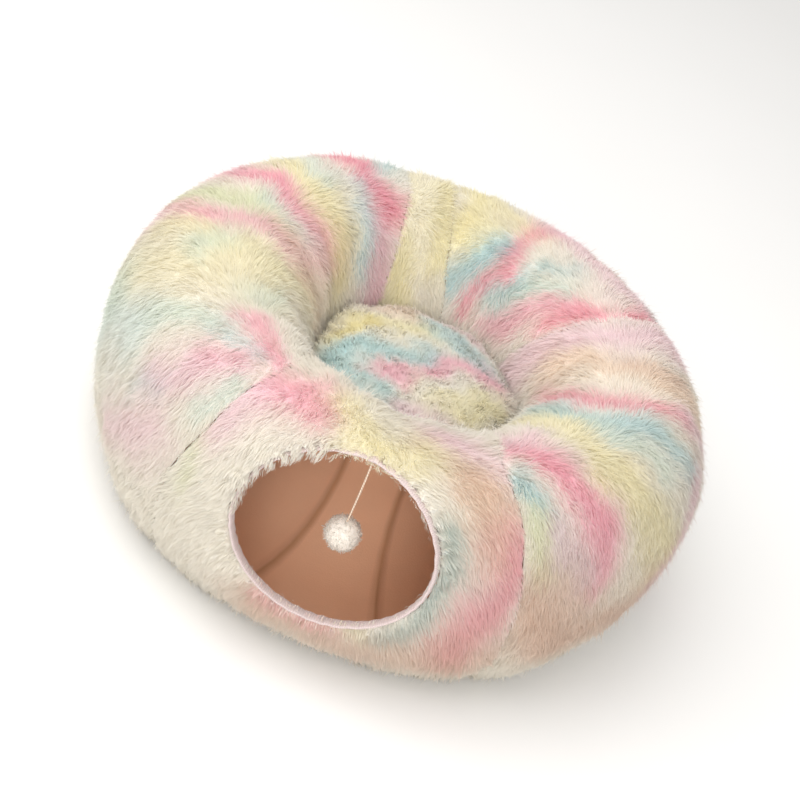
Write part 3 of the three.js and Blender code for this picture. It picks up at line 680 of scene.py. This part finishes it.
def whole_copy(node_name, name, levels):
    """A copy of a CAD node with its points joined, its faces paired and smoothed."""
    bpy.ops.object.select_all(action="DESELECT")
    made = bpy.data.objects.new(name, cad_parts[node_name].data.copy())
    bpy.context.collection.objects.link(made)
    made.data.materials.clear()
    made.select_set(True)
    bpy.context.view_layer.objects.active = made
    bpy.ops.object.mode_set(mode="EDIT")
    bpy.ops.mesh.select_all(action="SELECT")
    bpy.ops.mesh.remove_doubles(threshold=0.00001)
    bpy.ops.mesh.tris_convert_to_quads()
    bpy.ops.object.mode_set(mode="OBJECT")
    if levels:
        smoothing = made.modifiers.new("smoothing", "SUBSURF")
        smoothing.levels = levels
        smoothing.render_levels = levels
        bpy.ops.object.modifier_apply(modifier=smoothing.name)
    bpy.ops.object.shade_smooth()
    return made


def paint_vertices(mesh, colours):
    layer = mesh.color_attributes.new("dye", "FLOAT_COLOR", "POINT")
    rows = np.ones((len(mesh.vertices), 4), np.float32)
    rows[:, :3] = colours
    layer.data.foreach_set("color", rows.ravel())


def gather_relief(points):
    """Soft folds that run up the well's wall and fade over the crest: grooves at the gathers, swells between."""
    turn, roll, _ = ring_place(points)
    wander = turn + ripples(points, GATHER_WANDER)[:, 0]
    nearest = np.min([np.abs(angle_between(wander, gather)) for gather in GATHERS], axis=0)
    width = np.radians(nearest) * np.hypot(points[:, 0], points[:, 1])
    reach = np.clip((np.abs(roll) - GATHERS_FROM_ROLL) / GATHERS_FADE, 0, 1)
    return GATHER_RELIEF * reach * (1 - GATHER_DEPTH * bell(width, GATHER_HALF_WIDTH))


def panel_cloth(node_name, panel_name):
    """The panel's cloth: the solid drawn in under the pile's surface, but not where it lies on the floor."""
    made = whole_copy(node_name, f"panel_{panel_name}_cloth", 1)
    points = vertex_array(made.data)
    away, way, _ = mouth_places(points)
    points += way * np.where(away < RIM_CLEARANCE, RIM_CLEARANCE - away, 0)[:, None]
    _, roll, outside = ring_place(points)
    rounded = np.where(away < RIM_REACH, np.minimum(outside, RIM_RISE), outside)
    lift = np.clip(points[:, 2] / FLOOR_FADE, 0, 1)
    pressed = np.clip((PRESSED_HEIGHT - points[:, 2]) / PRESSED_FADE, 0, 1) * (np.abs(roll) > WELL_ROLL)
    drawn_in = (PILE_DEPTH - gather_relief(points)) * lift * (1 - PRESSED_SHARE * pressed)
    is_outer = outside > -OUTER_FACE_DEPTH
    wanted = np.where(is_outer, np.maximum(rounded - drawn_in, -DEEPEST_CLOTH), outside)
    wanted = np.where(is_outer & (lift < FLAT_SHARE), outside, wanted)
    level = np.hypot(points[:, 0], points[:, 1])
    across = level - CREST_RADIUS
    high = points[:, 2] - WIDEST_HEIGHT
    length = np.maximum(np.hypot(across, high), 1e-6)
    factor = 1 - (outside - wanted) / length
    new_level = CREST_RADIUS + across * factor
    points[:, :2] *= (new_level / level)[:, None]
    points[:, 2] = np.maximum(WIDEST_HEIGHT + high * factor, 0)
    set_vertices(made.data, points)
    paint_vertices(made.data, ring_dye_and_painted_shade(points, panel_name))
    return made


def spots_on(mesh, density, chance, wanted):
    """Chance places all over the mesh's faces where wanted says so, with the smooth normal there."""
    mesh.calc_loop_triangles()
    corners = np.empty(len(mesh.loop_triangles) * 3, np.int32)
    mesh.loop_triangles.foreach_get("vertices", corners)
    corners = corners.reshape(-1, 3)
    points = vertex_array(mesh)
    normals = np.empty(len(mesh.vertices) * 3, np.float32)
    mesh.vertices.foreach_get("normal", normals)
    normals = normals.reshape(-1, 3).astype(float)
    a, b, c = (points[corners[:, side]] for side in range(3))
    cross = np.cross(b - a, c - a)
    areas = np.linalg.norm(cross, axis=1) / 2
    areas = areas * wanted((a + b + c) / 3, unit(cross))
    count = int(areas.sum() * density)
    face = chance.choice(len(areas), size=count, p=areas / areas.sum())
    first, second = chance.random(count), chance.random(count)
    over = first + second > 1
    first, second = np.where(over, 1 - first, first), np.where(over, 1 - second, second)
    shares = np.stack([1 - first - second, first, second], 1)[:, :, None]
    spots = (points[corners[face]] * shares).sum(1)
    return spots, unit((normals[corners[face]] * shares).sum(1))


def gathered(spots, tips, middles, chance, area_each, pull):
    """Draws each lock's tip towards the tip of the nearest tuft's middle lock."""
    total = max(int(len(spots) / LOCKS_PER_SQUARE_METRE / area_each), 1)
    heads = chance.choice(len(spots), size=total, replace=False)
    tree = kdtree.KDTree(total)
    for index, head in enumerate(heads):
        tree.insert(spots[head], index)
    tree.balance()
    nearest = heads[np.array([tree.find(spot)[1] for spot in spots])]
    amount = pull * chance.uniform(*TUFT_CHANCE, size=(len(spots), 1))
    step = (tips[nearest] + (spots - spots[nearest]) * TUFT_SPREAD - tips) * amount
    step *= np.minimum(1, LONGEST_TUFT_STEP / np.maximum(np.linalg.norm(step, axis=1, keepdims=True), 1e-9))
    return tips + step, middles + step * TUFT_BEND


def ring_wants_pile(points, normals):
    """Pile grows on the outside of each panel, but not underneath and not where the cushion hides the well."""
    _, roll, _ = ring_place(points)
    from_middle = unit(points * np.array([1, 1, 0])) * CREST_RADIUS + np.array([0, 0, WIDEST_HEIGHT])
    outwards = ((points - from_middle) * normals).sum(1) > 0
    hidden = (np.abs(roll) > WELL_ROLL) & (points[:, 2] < HIDDEN_BELOW)
    return outwards & ~hidden & (points[:, 2] > LOWEST_ROOT) & (normals[:, 2] > UNDERSIDE)


def edge_thickness(points):
    """How much thicker the pile stands along the mouth's edge, most of all where it hangs over it."""
    away, _, hanging = mouth_places(points)
    most = EDGE_THICKNESS["all_round"] + EDGE_THICKNESS["hanging"] * hanging
    return most * bell(away, EDGE_THICKNESS["within"])


def ring_pile(name, panel_name, cloth, part, seed):
    """The pile on one panel, or on the part of it that part picks out."""
    chance = np.random.default_rng(seed)

    def wanted(points, normals):
        return (ring_wants_pile(points, normals) & part(points)) * (1 + edge_thickness(points))

    spots, normals = spots_on(cloth.data, LOCKS_PER_SQUARE_METRE, chance, wanted)
    count = len(spots)
    away, way, hanging = mouth_places(spots)
    at_edge = bell(away, EDGE_HALF_WIDTH)[:, None]
    hanging = hanging[:, None]
    rise = EDGE_RISE["all_round"] + EDGE_RISE["hanging"] * hanging
    reach = EDGE_REACH["all_round"] - EDGE_REACH["hanging"] * hanging
    spots = spots + at_edge * (normals * rise - way * reach)

    downhill = along_cloth(np.array([0, 0, -1.0]), normals)
    outhill = along_cloth(unit(spots * np.array([1, 1, 0])), normals)
    near_mouth = np.exp(-np.maximum(away, 0) / OFF_MOUTH["reach"])[:, None]
    upper = np.clip(way @ MOUTH_UP, 0, 1)[:, None]
    off_mouth = OFF_MOUTH["strength"] * (1 - at_edge) + OFF_MOUTH["at_edge"] * at_edge * upper
    off_mouth = near_mouth * (1 - hanging) * off_mouth
    way = along_cloth(way, normals)
    seam, along_ring = seam_side(spots)
    beside_seam = np.tanh(seam / TO_SEAM["turns_within"]) * bell(seam, TO_SEAM["reach"])
    turn, roll, _ = ring_place(spots)
    over_crest = np.clip((OVER_CREST["until_roll"] - np.abs(roll)) / OVER_CREST["fade"], 0, 1)[:, None]
    at_parting = bell(roll - TO_BACK["roll"], TO_BACK["half_width"])[:, None]
    to_back = np.tanh(((turn - TO_BACK["from_turn"]) % 360 - TO_BACK["front_turn"]) / TO_BACK["fade"])[:, None]
    comb = downhill + OVER_CREST["strength"] * over_crest * outhill
    comb = comb + TO_BACK["strength"] * at_parting * to_back * along_ring
    comb = comb + BRUSHED + off_mouth * way - TO_SEAM["strength"] * along_ring * beside_seam[:, None]
    comb = comb + ripples(spots, SWIRLS, 3) * (1 - SWIRL_CALMED * at_parting)
    comb = along_cloth(comb + COMB_CHANCE * chance.normal(size=(count, 3)), normals)
    strength = np.clip(np.linalg.norm(comb, axis=1), *COMB_STRENGTH)
    comb = unit(comb)

    length = LOCK_LENGTH * chance.normal(1, LENGTH_CHANCE, count)
    length *= 1 - SHORTER_AT_SEAM["by"] * bell(seam, SHORTER_AT_SEAM["within"])
    length *= 1 + ripples(spots, LENGTH_RIPPLES)[:, 0]
    length *= 1 - SHORTER_AT_EDGE * at_edge[:, 0]
    stray = chance.random(count) < STRAY_SHARE
    length *= np.where(stray, STRAY_LENGTH, 1)
    halves = []
    for least, by_comb, less_if_stray, by_chance in LOCK_TILTS:
        tilt = least + by_comb * strength - less_if_stray * stray + chance.normal(0, by_chance, count)
        tilt = np.radians(tilt)[:, None]
        halves.append((normals * np.cos(tilt) + comb * np.sin(tilt)) * length[:, None] / 2)
    over_edge = normals * HANGING_BEND["out"] - way * HANGING_BEND["over"]
    middles = spots + halves[0] + at_edge * hanging * over_edge / 2
    tips = middles + halves[1]
    tips, middles = gathered(spots, tips, middles, chance, TUFT_AREA, TUFT_PULL)
    tips[:, 2] = np.maximum(tips[:, 2], LOWEST_TIP)
    middles[:, 2] = np.maximum(middles[:, 2], LOWEST_MIDDLE)
    facing = unit(normals + FACING_CHANCE * chance.normal(size=(count, 3)))
    widths = chance.uniform(*LOCK_WIDTHS, count)
    blur = DYE_BLUR * chance.normal(size=(count, 3))
    colours = lock_colours(ring_dye_and_painted_shade(spots + blur, panel_name), ring_dye_and_painted_shade(tips + blur, panel_name), chance)
    return lock_mesh(name, spots, middles, tips, facing, widths, colours, (turn % 360, roll % 360))


plush = Finish("dyed_long_pile", Roughness=0.7, Sheen_Weight=0.35, Sheen_Roughness=0.45, Specular_IOR_Level=0.2)
# The vertex colour named dye holds the dye, with painted shade in a few streaks and painted light over the
# cushion.
pile_dye_with_painted_light_and_shade = plush.node("ShaderNodeAttribute", {"attribute_name": "dye"})
pile_colour = plush.mixed(plush.noise(420) * 0.1, pile_dye_with_painted_light_and_shade, shade((246, 238, 228)), "MULTIPLY")
plush.set(Base_Color=pile_colour)
plush.let_through(PILE_LETS_THROUGH, shade(THROUGH_COLOUR))
backing = Finish("dyed_pile_cloth", Roughness=0.9, Sheen_Weight=0.3)
cloth_dye_with_painted_light_and_shade = backing.node("ShaderNodeAttribute", {"attribute_name": "dye"})
backing.set(
    Base_Color=backing.mixed(backing.noise(500) * 0.2, cloth_dye_with_painted_light_and_shade, shade((226, 214, 202)), "MULTIPLY"),
    Normal=backing.bumped(backing.noise(700, 4), 0.9, 0.002),
)

PANELS = [
    {"node": "shell_front", "name": "front", "parts": 1},
    {"node": "shell_right", "name": "right", "parts": 1},
    {"node": "shell_back_right", "name": "back_right", "parts": 1},
    {"node": "shell_back_strip", "name": "back_strip", "parts": 1},
    {"node": "shell_left", "name": "left", "parts": 2},
]
for number, panel in enumerate(PANELS):
    cloth = panel_cloth(panel["node"], panel["name"])
    cloth.data.materials.append(backing.material)
    pieces = [cloth]
    for part in range(panel["parts"]):
        if panel["parts"] == 1:
            picked = (lambda points: np.ones(len(points), bool))
            label = f"panel_{panel['name']}_pile"
        else:
            picked = (lambda points, side=part: (points[:, 1] > 0) == (side == 1))
            label = f"panel_{panel['name']}_pile_{part + 1}"
        pile = ring_pile(label, panel["name"], cloth, picked, 100 + number * 10 + part)
        pile.data.materials.append(plush.material)
        pieces.append(pile)
    for piece in pieces:
        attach(piece, "root")
        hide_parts(panel["node"])


# Lining: smooth apricot cloth inside the tunnel, sewn from strips. The seams stand up as thin ridges. Dark lines
# are painted along them as painted shade, for the shade where the cloth turns away there.
LINING_SEAMS = [{"well_turn": -11, "floor_turn": -18}, {"well_turn": 17, "floor_turn": 16}]
LINING_SEAMS_BEHIND = 8
SEAM_SHADOW_HALF_WIDTH = 0.0032

lining = whole_copy("tunnel_lining", "tunnel_lining_cloth", 1)
points = vertex_array(lining.data)
turn, roll, _ = ring_place(points)
to_floor = (1 + np.cos(np.radians(roll))) / 2
left_seam, right_seam = (
    seam["well_turn"] + (seam["floor_turn"] - seam["well_turn"]) * to_floor for seam in LINING_SEAMS
)
step = (360 + left_seam - right_seam) / (LINING_SEAMS_BEHIND + 1)
seams = [left_seam, right_seam] + [right_seam + step * count for count in range(1, LINING_SEAMS_BEHIND + 1)]
radius = np.hypot(points[:, 0], points[:, 1])
seam_gap = np.min([np.abs(angle_between(turn, seam)) for seam in seams], axis=0) * np.pi / 180 * radius
painted_seam_shade = bell(seam_gap, SEAM_SHADOW_HALF_WIDTH)
# On the lining the vertex colour named dye holds no dye: it holds only this painted seam shade.
paint_vertices(lining.data, np.repeat(painted_seam_shade[:, None], 3, 1))
apricot = Finish("apricot_lining", Roughness=0.8, Sheen_Weight=0.25, Specular_IOR_Level=0.25)
painted_seam_shade_mask = apricot.node("ShaderNodeAttribute", {"attribute_name": "dye"}, output="Fac")
cloud = apricot.noise(9, 3)
nap = apricot.noise(650, 3)
ground = apricot.mixed(cloud, shade((250, 206, 172)), shade((244, 196, 160)))
ground = apricot.mixed(nap * 0.2, ground, shade((226, 172, 134)))
creases = apricot.noise(16, 3)
# The darker brown mixed in along the seams is painted shade.
apricot.set(
    Base_Color=apricot.mixed(painted_seam_shade_mask * 0.8, ground, shade((184, 136, 100))),
    Normal=apricot.bumped(creases * 0.9 + nap * 0.06, 0.5, 0.008),
)
lining.data.materials.append(apricot.material)
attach(lining, "root")
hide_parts("tunnel_lining")


# Binding: a thin pale knitted tape folded round the mouth's edge, with its outer edge tucked in under the pile.
# It is sewn down with one row of stitches and gathers a little where it turns.
TAPE_REACH = 0.01
TAPE_FLATTER = 0.15
TAPE_TUCKED = 150
TAPE_DRAWN_IN = 0.0035
TAPE_WRINKLES = 46
TAPE_WRINKLE_HEIGHT = 0.0004
TAPE_WRINKLE_WANDER = [(0.03, 51, 2)]
MOUTH_IN = np.array([0, math.cos(MOUTH_TILT), -math.sin(MOUTH_TILT)])
TAPE_RIBS = 260
TAPE_STITCHES = 120

tape = whole_copy("mouth_binding", "mouth_binding_tape", 1)
points = vertex_array(tape.data)
away, way, hanging = mouth_places(points)
folded = np.clip(away, 0, TAPE_REACH)
points -= way * (folded * TAPE_FLATTER)[:, None]
points += MOUTH_IN * (TAPE_DRAWN_IN * hanging + TAPE_TUCKED * folded ** 2)[:, None]
share = np.arctan2(way @ MOUTH_UP, way[:, 0]) / (2 * math.pi) % 1
wrinkle = np.sin(share * 2 * math.pi * TAPE_WRINKLES + ripples(points, TAPE_WRINKLE_WANDER)[:, 0])
wrinkle *= TAPE_WRINKLE_HEIGHT
set_vertices(tape.data, points + way * wrinkle[:, None])
corners = np.empty(len(tape.data.loops), np.int32)
tape.data.loops.foreach_get("vertex_index", corners)
starts = np.array([polygon.loop_start for polygon in tape.data.polygons])
totals = np.array([polygon.loop_total for polygon in tape.data.polygons])
face_of = np.repeat(np.arange(len(starts)), totals)
along = share[corners]
wraps = np.maximum.reduceat(along, starts) - np.minimum.reduceat(along, starts) > 0.5
along = np.where(wraps[face_of] & (along < 0.5), along + 1, along)
tape_map = tape.data.uv_layers.new(name="tape")
tape_map.uv.foreach_set("vector", np.stack([along, points[corners, 1] * 10], 1).astype(np.float32).ravel())
knit = Finish("pale_knitted_tape", Roughness=0.85, Sheen_Weight=0.3)
across_map, _, _ = knit.split(knit.node("ShaderNodeUVMap", {"uv_map": "tape"}))
ribs = (across_map * (2 * math.pi * TAPE_RIBS)).maths("SINE")
stitches = (across_map * (2 * math.pi * TAPE_STITCHES)).maths("SINE")
dim = ribs * 0.5 + 0.5
knit.set(
    Base_Color=knit.mixed(dim * 0.35, shade((220, 202, 198)), shade((192, 172, 172))),
    Normal=knit.bumped(dim + stitches * 0.3, 0.5, 0.0006),
)
tape.data.materials.append(knit.material)
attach(tape, "root")
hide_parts("mouth_binding")


# Cushion: a plush cover stuffed tight with soft filling, so it crowns in the middle and is caught at its edge
# against the ring. Its pile is shorter, curly and pressed, and is dyed in patches, whose colours are lifted paler
# as painted light.
CUSHION_PILE_DEPTH = 0.0056
CUSHION_VOXEL = 0.005
CUSHION_PRESSURE = 4
CUSHION_FRAMES = 20
CUSHION_MOST_MOVE = 0.005
CUSHION_LOCKS_PER_SQUARE_METRE = 760_000
CUSHION_LOCK_LENGTH = 0.0082
# How much the cushion's colours are lifted paler: painted light, not a paler dye.
CUSHION_PAINTED_LIGHT = 0.85
CUSHION_SIDE_GAP = 0.0015
CUSHION_DRAWN_IN_FROM = 0.10
CUSHION_DRAWN_IN_FADE = 0.04
CUSHION_STILL_BELOW = 0.02
CUSHION_SWELL = {"middle": 1.3, "radius": 0.09, "least": 0.1}
CUSHION_PILE_FROM = 0.118
CUSHION_UNDERSIDE = -0.1
CUSHION_RIM = {"from": 0.080, "fade": 0.02, "longer": 0.3}
CUSHION_LENGTH_CHANCE = 0.2
CUSHION_LOCK_WIDTHS = (0.0005, 0.001)
CUSHION_FACING_CHANCE = 0.1
CUSHION_CURLS = [(0.012, 72, 0.5), (0.035, 75, 0.4)]
CUSHION_CURL_CHANCE = 0.3
CUSHION_BRUSHED = np.array([0, 0.35, 0])
CUSHION_FIRST_CURL = 0.9
CUSHION_LAST_RISE = 0.12
CUSHION_TUFT_AREA = 36e-6
CUSHION_TUFT_PULL = 0.22
CUSHION_DYE_WANDER = [(0.06, 61, 7), (0.018, 63, 3.5)]
CUSHION_DYE_SPREAD = 1.25
# A patch on the cushion's top is its dye, half width in mm, strength, and places given as x and y in mm.
CUSHION_PATCHES = [
    ("peach", 24, 0.95, [(-44, 72), (4, 70)]),
    ("yellow", 15, 0.95, [(-88, -14), (-72, 30), (-24, 34), (-2, 50)]),
    ("strong_yellow", 9, 0.7, [(-86, -8), (-70, 22)]),
    ("blue", 15, 0.85, [(6, 62), (34, 48), (66, 32)]),
    ("teal", 15, 0.95, [(-78, -50), (-48, -18), (-22, -20), (6, -2)]),
    ("teal", 13, 0.85, [(-58, -58), (-14, -76)]),
    ("pink", 9, 0.95, [(-28, -46), (4, -44)]),
    ("pink", 12, 0.95, [(12, -20), (42, 8), (80, 18)]),
    ("yellow", 13, 0.9, [(22, -54), (56, -42), (92, -12)]),
    ("cream", 10, 0.8, [(6, -62), (50, -20)]),
    ("soft_pink", 12, 0.8, [(6, -92), (50, -80)]),
    ("soft_pink", 10, 0.7, [(0, 92), (50, 80)]),
]


def cushion_dye_and_painted_light(points):
    """The colour at each point of the cushion: cream dyed cloth with the patches laid over it, then lifted paler
    all over as painted light.
    """
    warped = points[:, :2] * 1000 + ripples(points, CUSHION_DYE_WANDER, 2)
    colour = np.tile(linear(DYES_AND_PAINTED_SHADES["cream"]), (len(points), 1))
    for dye, half_width, strength, along in CUSHION_PATCHES:
        places = np.array(along, float)
        strokes = [off_stroke(warped - start, end - start) for start, end in zip(places, places[1:])]
        share = strength * bell(np.min(strokes, axis=0), half_width * CUSHION_DYE_SPREAD)[:, None]
        colour = colour * (1 - share) + linear(DYES_AND_PAINTED_SHADES[dye]) * share
    # Every colour is lifted paler: painted light, so the cushion looks brighter than the well's shade leaves it.
    return colour ** CUSHION_PAINTED_LIGHT


cushion = whole_copy("centre_cushion", "cushion_cover", 0)
points = vertex_array(cushion.data)
radius = np.hypot(points[:, 0], points[:, 1])
top_share = np.clip((points[:, 2] - CUSHION_DRAWN_IN_FROM) / CUSHION_DRAWN_IN_FADE, 0, 1)
points[:, 2] -= CUSHION_PILE_DEPTH * top_share
points[:, :2] *= (1 - CUSHION_SIDE_GAP / np.maximum(radius, 0.03))[:, None]
set_vertices(cushion.data, points)
cushion.data.remesh_voxel_size = CUSHION_VOXEL
bpy.ops.object.voxel_remesh()
before = vertex_array(cushion.data)
cloth = cushion.modifiers.new("stuffing", "CLOTH")
cloth.settings.use_pressure = True
cloth.settings.uniform_pressure_force = CUSHION_PRESSURE
cloth.settings.effector_weights.gravity = 0
for step in range(1, CUSHION_FRAMES + 1):
    bpy.context.scene.frame_set(step)
shaped = cushion.evaluated_get(bpy.context.evaluated_depsgraph_get())
move = vertex_array(shaped.data) - before
cushion.modifiers.remove(cloth)
bpy.context.scene.frame_set(1)
length = np.maximum(np.linalg.norm(move, axis=1, keepdims=True), 1e-9)
move *= np.minimum(1, CUSHION_MOST_MOVE / length) * np.clip(before[:, 2:] / CUSHION_STILL_BELOW, 0, 1)
radius = np.hypot(before[:, 0], before[:, 1])
swell = CUSHION_SWELL["middle"] - radius / CUSHION_SWELL["radius"]
move *= np.clip(swell, CUSHION_SWELL["least"], 1)[:, None]
set_vertices(cushion.data, before + move)
smoothing = cushion.modifiers.new("smoothing", "SUBSURF")
smoothing.levels = 1
smoothing.render_levels = 1
bpy.ops.object.modifier_apply(modifier=smoothing.name)
bpy.ops.object.shade_smooth()
paint_vertices(cushion.data, cushion_dye_and_painted_light(vertex_array(cushion.data)))
cushion.data.materials.append(backing.material)


def cushion_wants_pile(points, normals):
    return (points[:, 2] > CUSHION_PILE_FROM) & (normals[:, 2] > CUSHION_UNDERSIDE)


chance = np.random.default_rng(71)
spots, normals = spots_on(cushion.data, CUSHION_LOCKS_PER_SQUARE_METRE, chance, cushion_wants_pile)
count = len(spots)
curl = ripples(spots, CUSHION_CURLS, 3) + CUSHION_CURL_CHANCE * chance.normal(size=(count, 3))
curl = along_cloth(curl + CUSHION_BRUSHED, normals)
rim = np.clip((np.hypot(spots[:, 0], spots[:, 1]) - CUSHION_RIM["from"]) / CUSHION_RIM["fade"], 0, 1)[:, None]
length = CUSHION_LOCK_LENGTH * chance.normal(1, CUSHION_LENGTH_CHANCE, count)[:, None]
length *= 1 + CUSHION_RIM["longer"] * rim
first_way = unit(normals + curl * CUSHION_FIRST_CURL)
last_way = unit(normals * CUSHION_LAST_RISE + curl)
middles = spots + first_way * length * 0.5
tips = middles + last_way * length * 0.5
tips, middles = gathered(spots, tips, middles, chance, CUSHION_TUFT_AREA, CUSHION_TUFT_PULL)
facing = unit(normals + CUSHION_FACING_CHANCE * chance.normal(size=(count, 3)))
cushion_pile = lock_mesh(
    "cushion_pile", spots, middles, tips, facing, chance.uniform(*CUSHION_LOCK_WIDTHS, count),
    lock_colours(cushion_dye_and_painted_light(spots), cushion_dye_and_painted_light(tips), chance),
    (spots[:, 0], spots[:, 1]),
)
cushion_pile.data.materials.append(plush.material)
for piece in (cushion, cushion_pile):
    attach(piece, "root")
    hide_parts("centre_cushion")


# Floor and light: a plain pale floor, one large soft lamp overhead, a second at the front, and pale air.
FLOOR_SIZE = 12
FLOOR_HEIGHT = -0.0006
LAMPS = [
    {"name": "overhead", "place": (-0.85, -0.2, 1.95), "size": 2.5, "power": 39},
    {"name": "front", "place": (0.25, -1.7, 1.0), "size": 1.0, "power": 11},
]
AIR_LIGHT = 0.67

bpy.ops.object.select_all(action="DESELECT")
bpy.ops.mesh.primitive_plane_add(size=FLOOR_SIZE, location=(0, 0, FLOOR_HEIGHT))
floor = bpy.context.active_object
floor.name = "pale_floor"
bpy.ops.object.transform_apply(location=True)
paper = Finish("pale_floor_paper", Roughness=0.95, Specular_IOR_Level=0.1)
paper.set(Base_Color=paper.mixed(paper.noise(3), shade((246, 245, 243)), shade((243, 242, 240))))
floor.data.materials.append(paper.material)
for lamp in LAMPS:
    bpy.ops.object.light_add(type="AREA", location=lamp["place"])
    light = bpy.context.active_object
    light.name = f"lamp_{lamp['name']}"
    light.data.size = lamp["size"]
    light.data.energy = lamp["power"]
    light.rotation_euler = (CAMERA_TARGET - light.location).to_track_quat("-Z", "Y").to_euler()
world = bpy.data.worlds.new("pale_air")
world.use_nodes = True
world.node_tree.nodes["Background"].inputs["Color"].default_value = (1, 0.99, 0.98, 1)
world.node_tree.nodes["Background"].inputs["Strength"].default_value = AIR_LIGHT
bpy.context.scene.world = world
bpy.context.scene.view_settings.view_transform = "Standard"
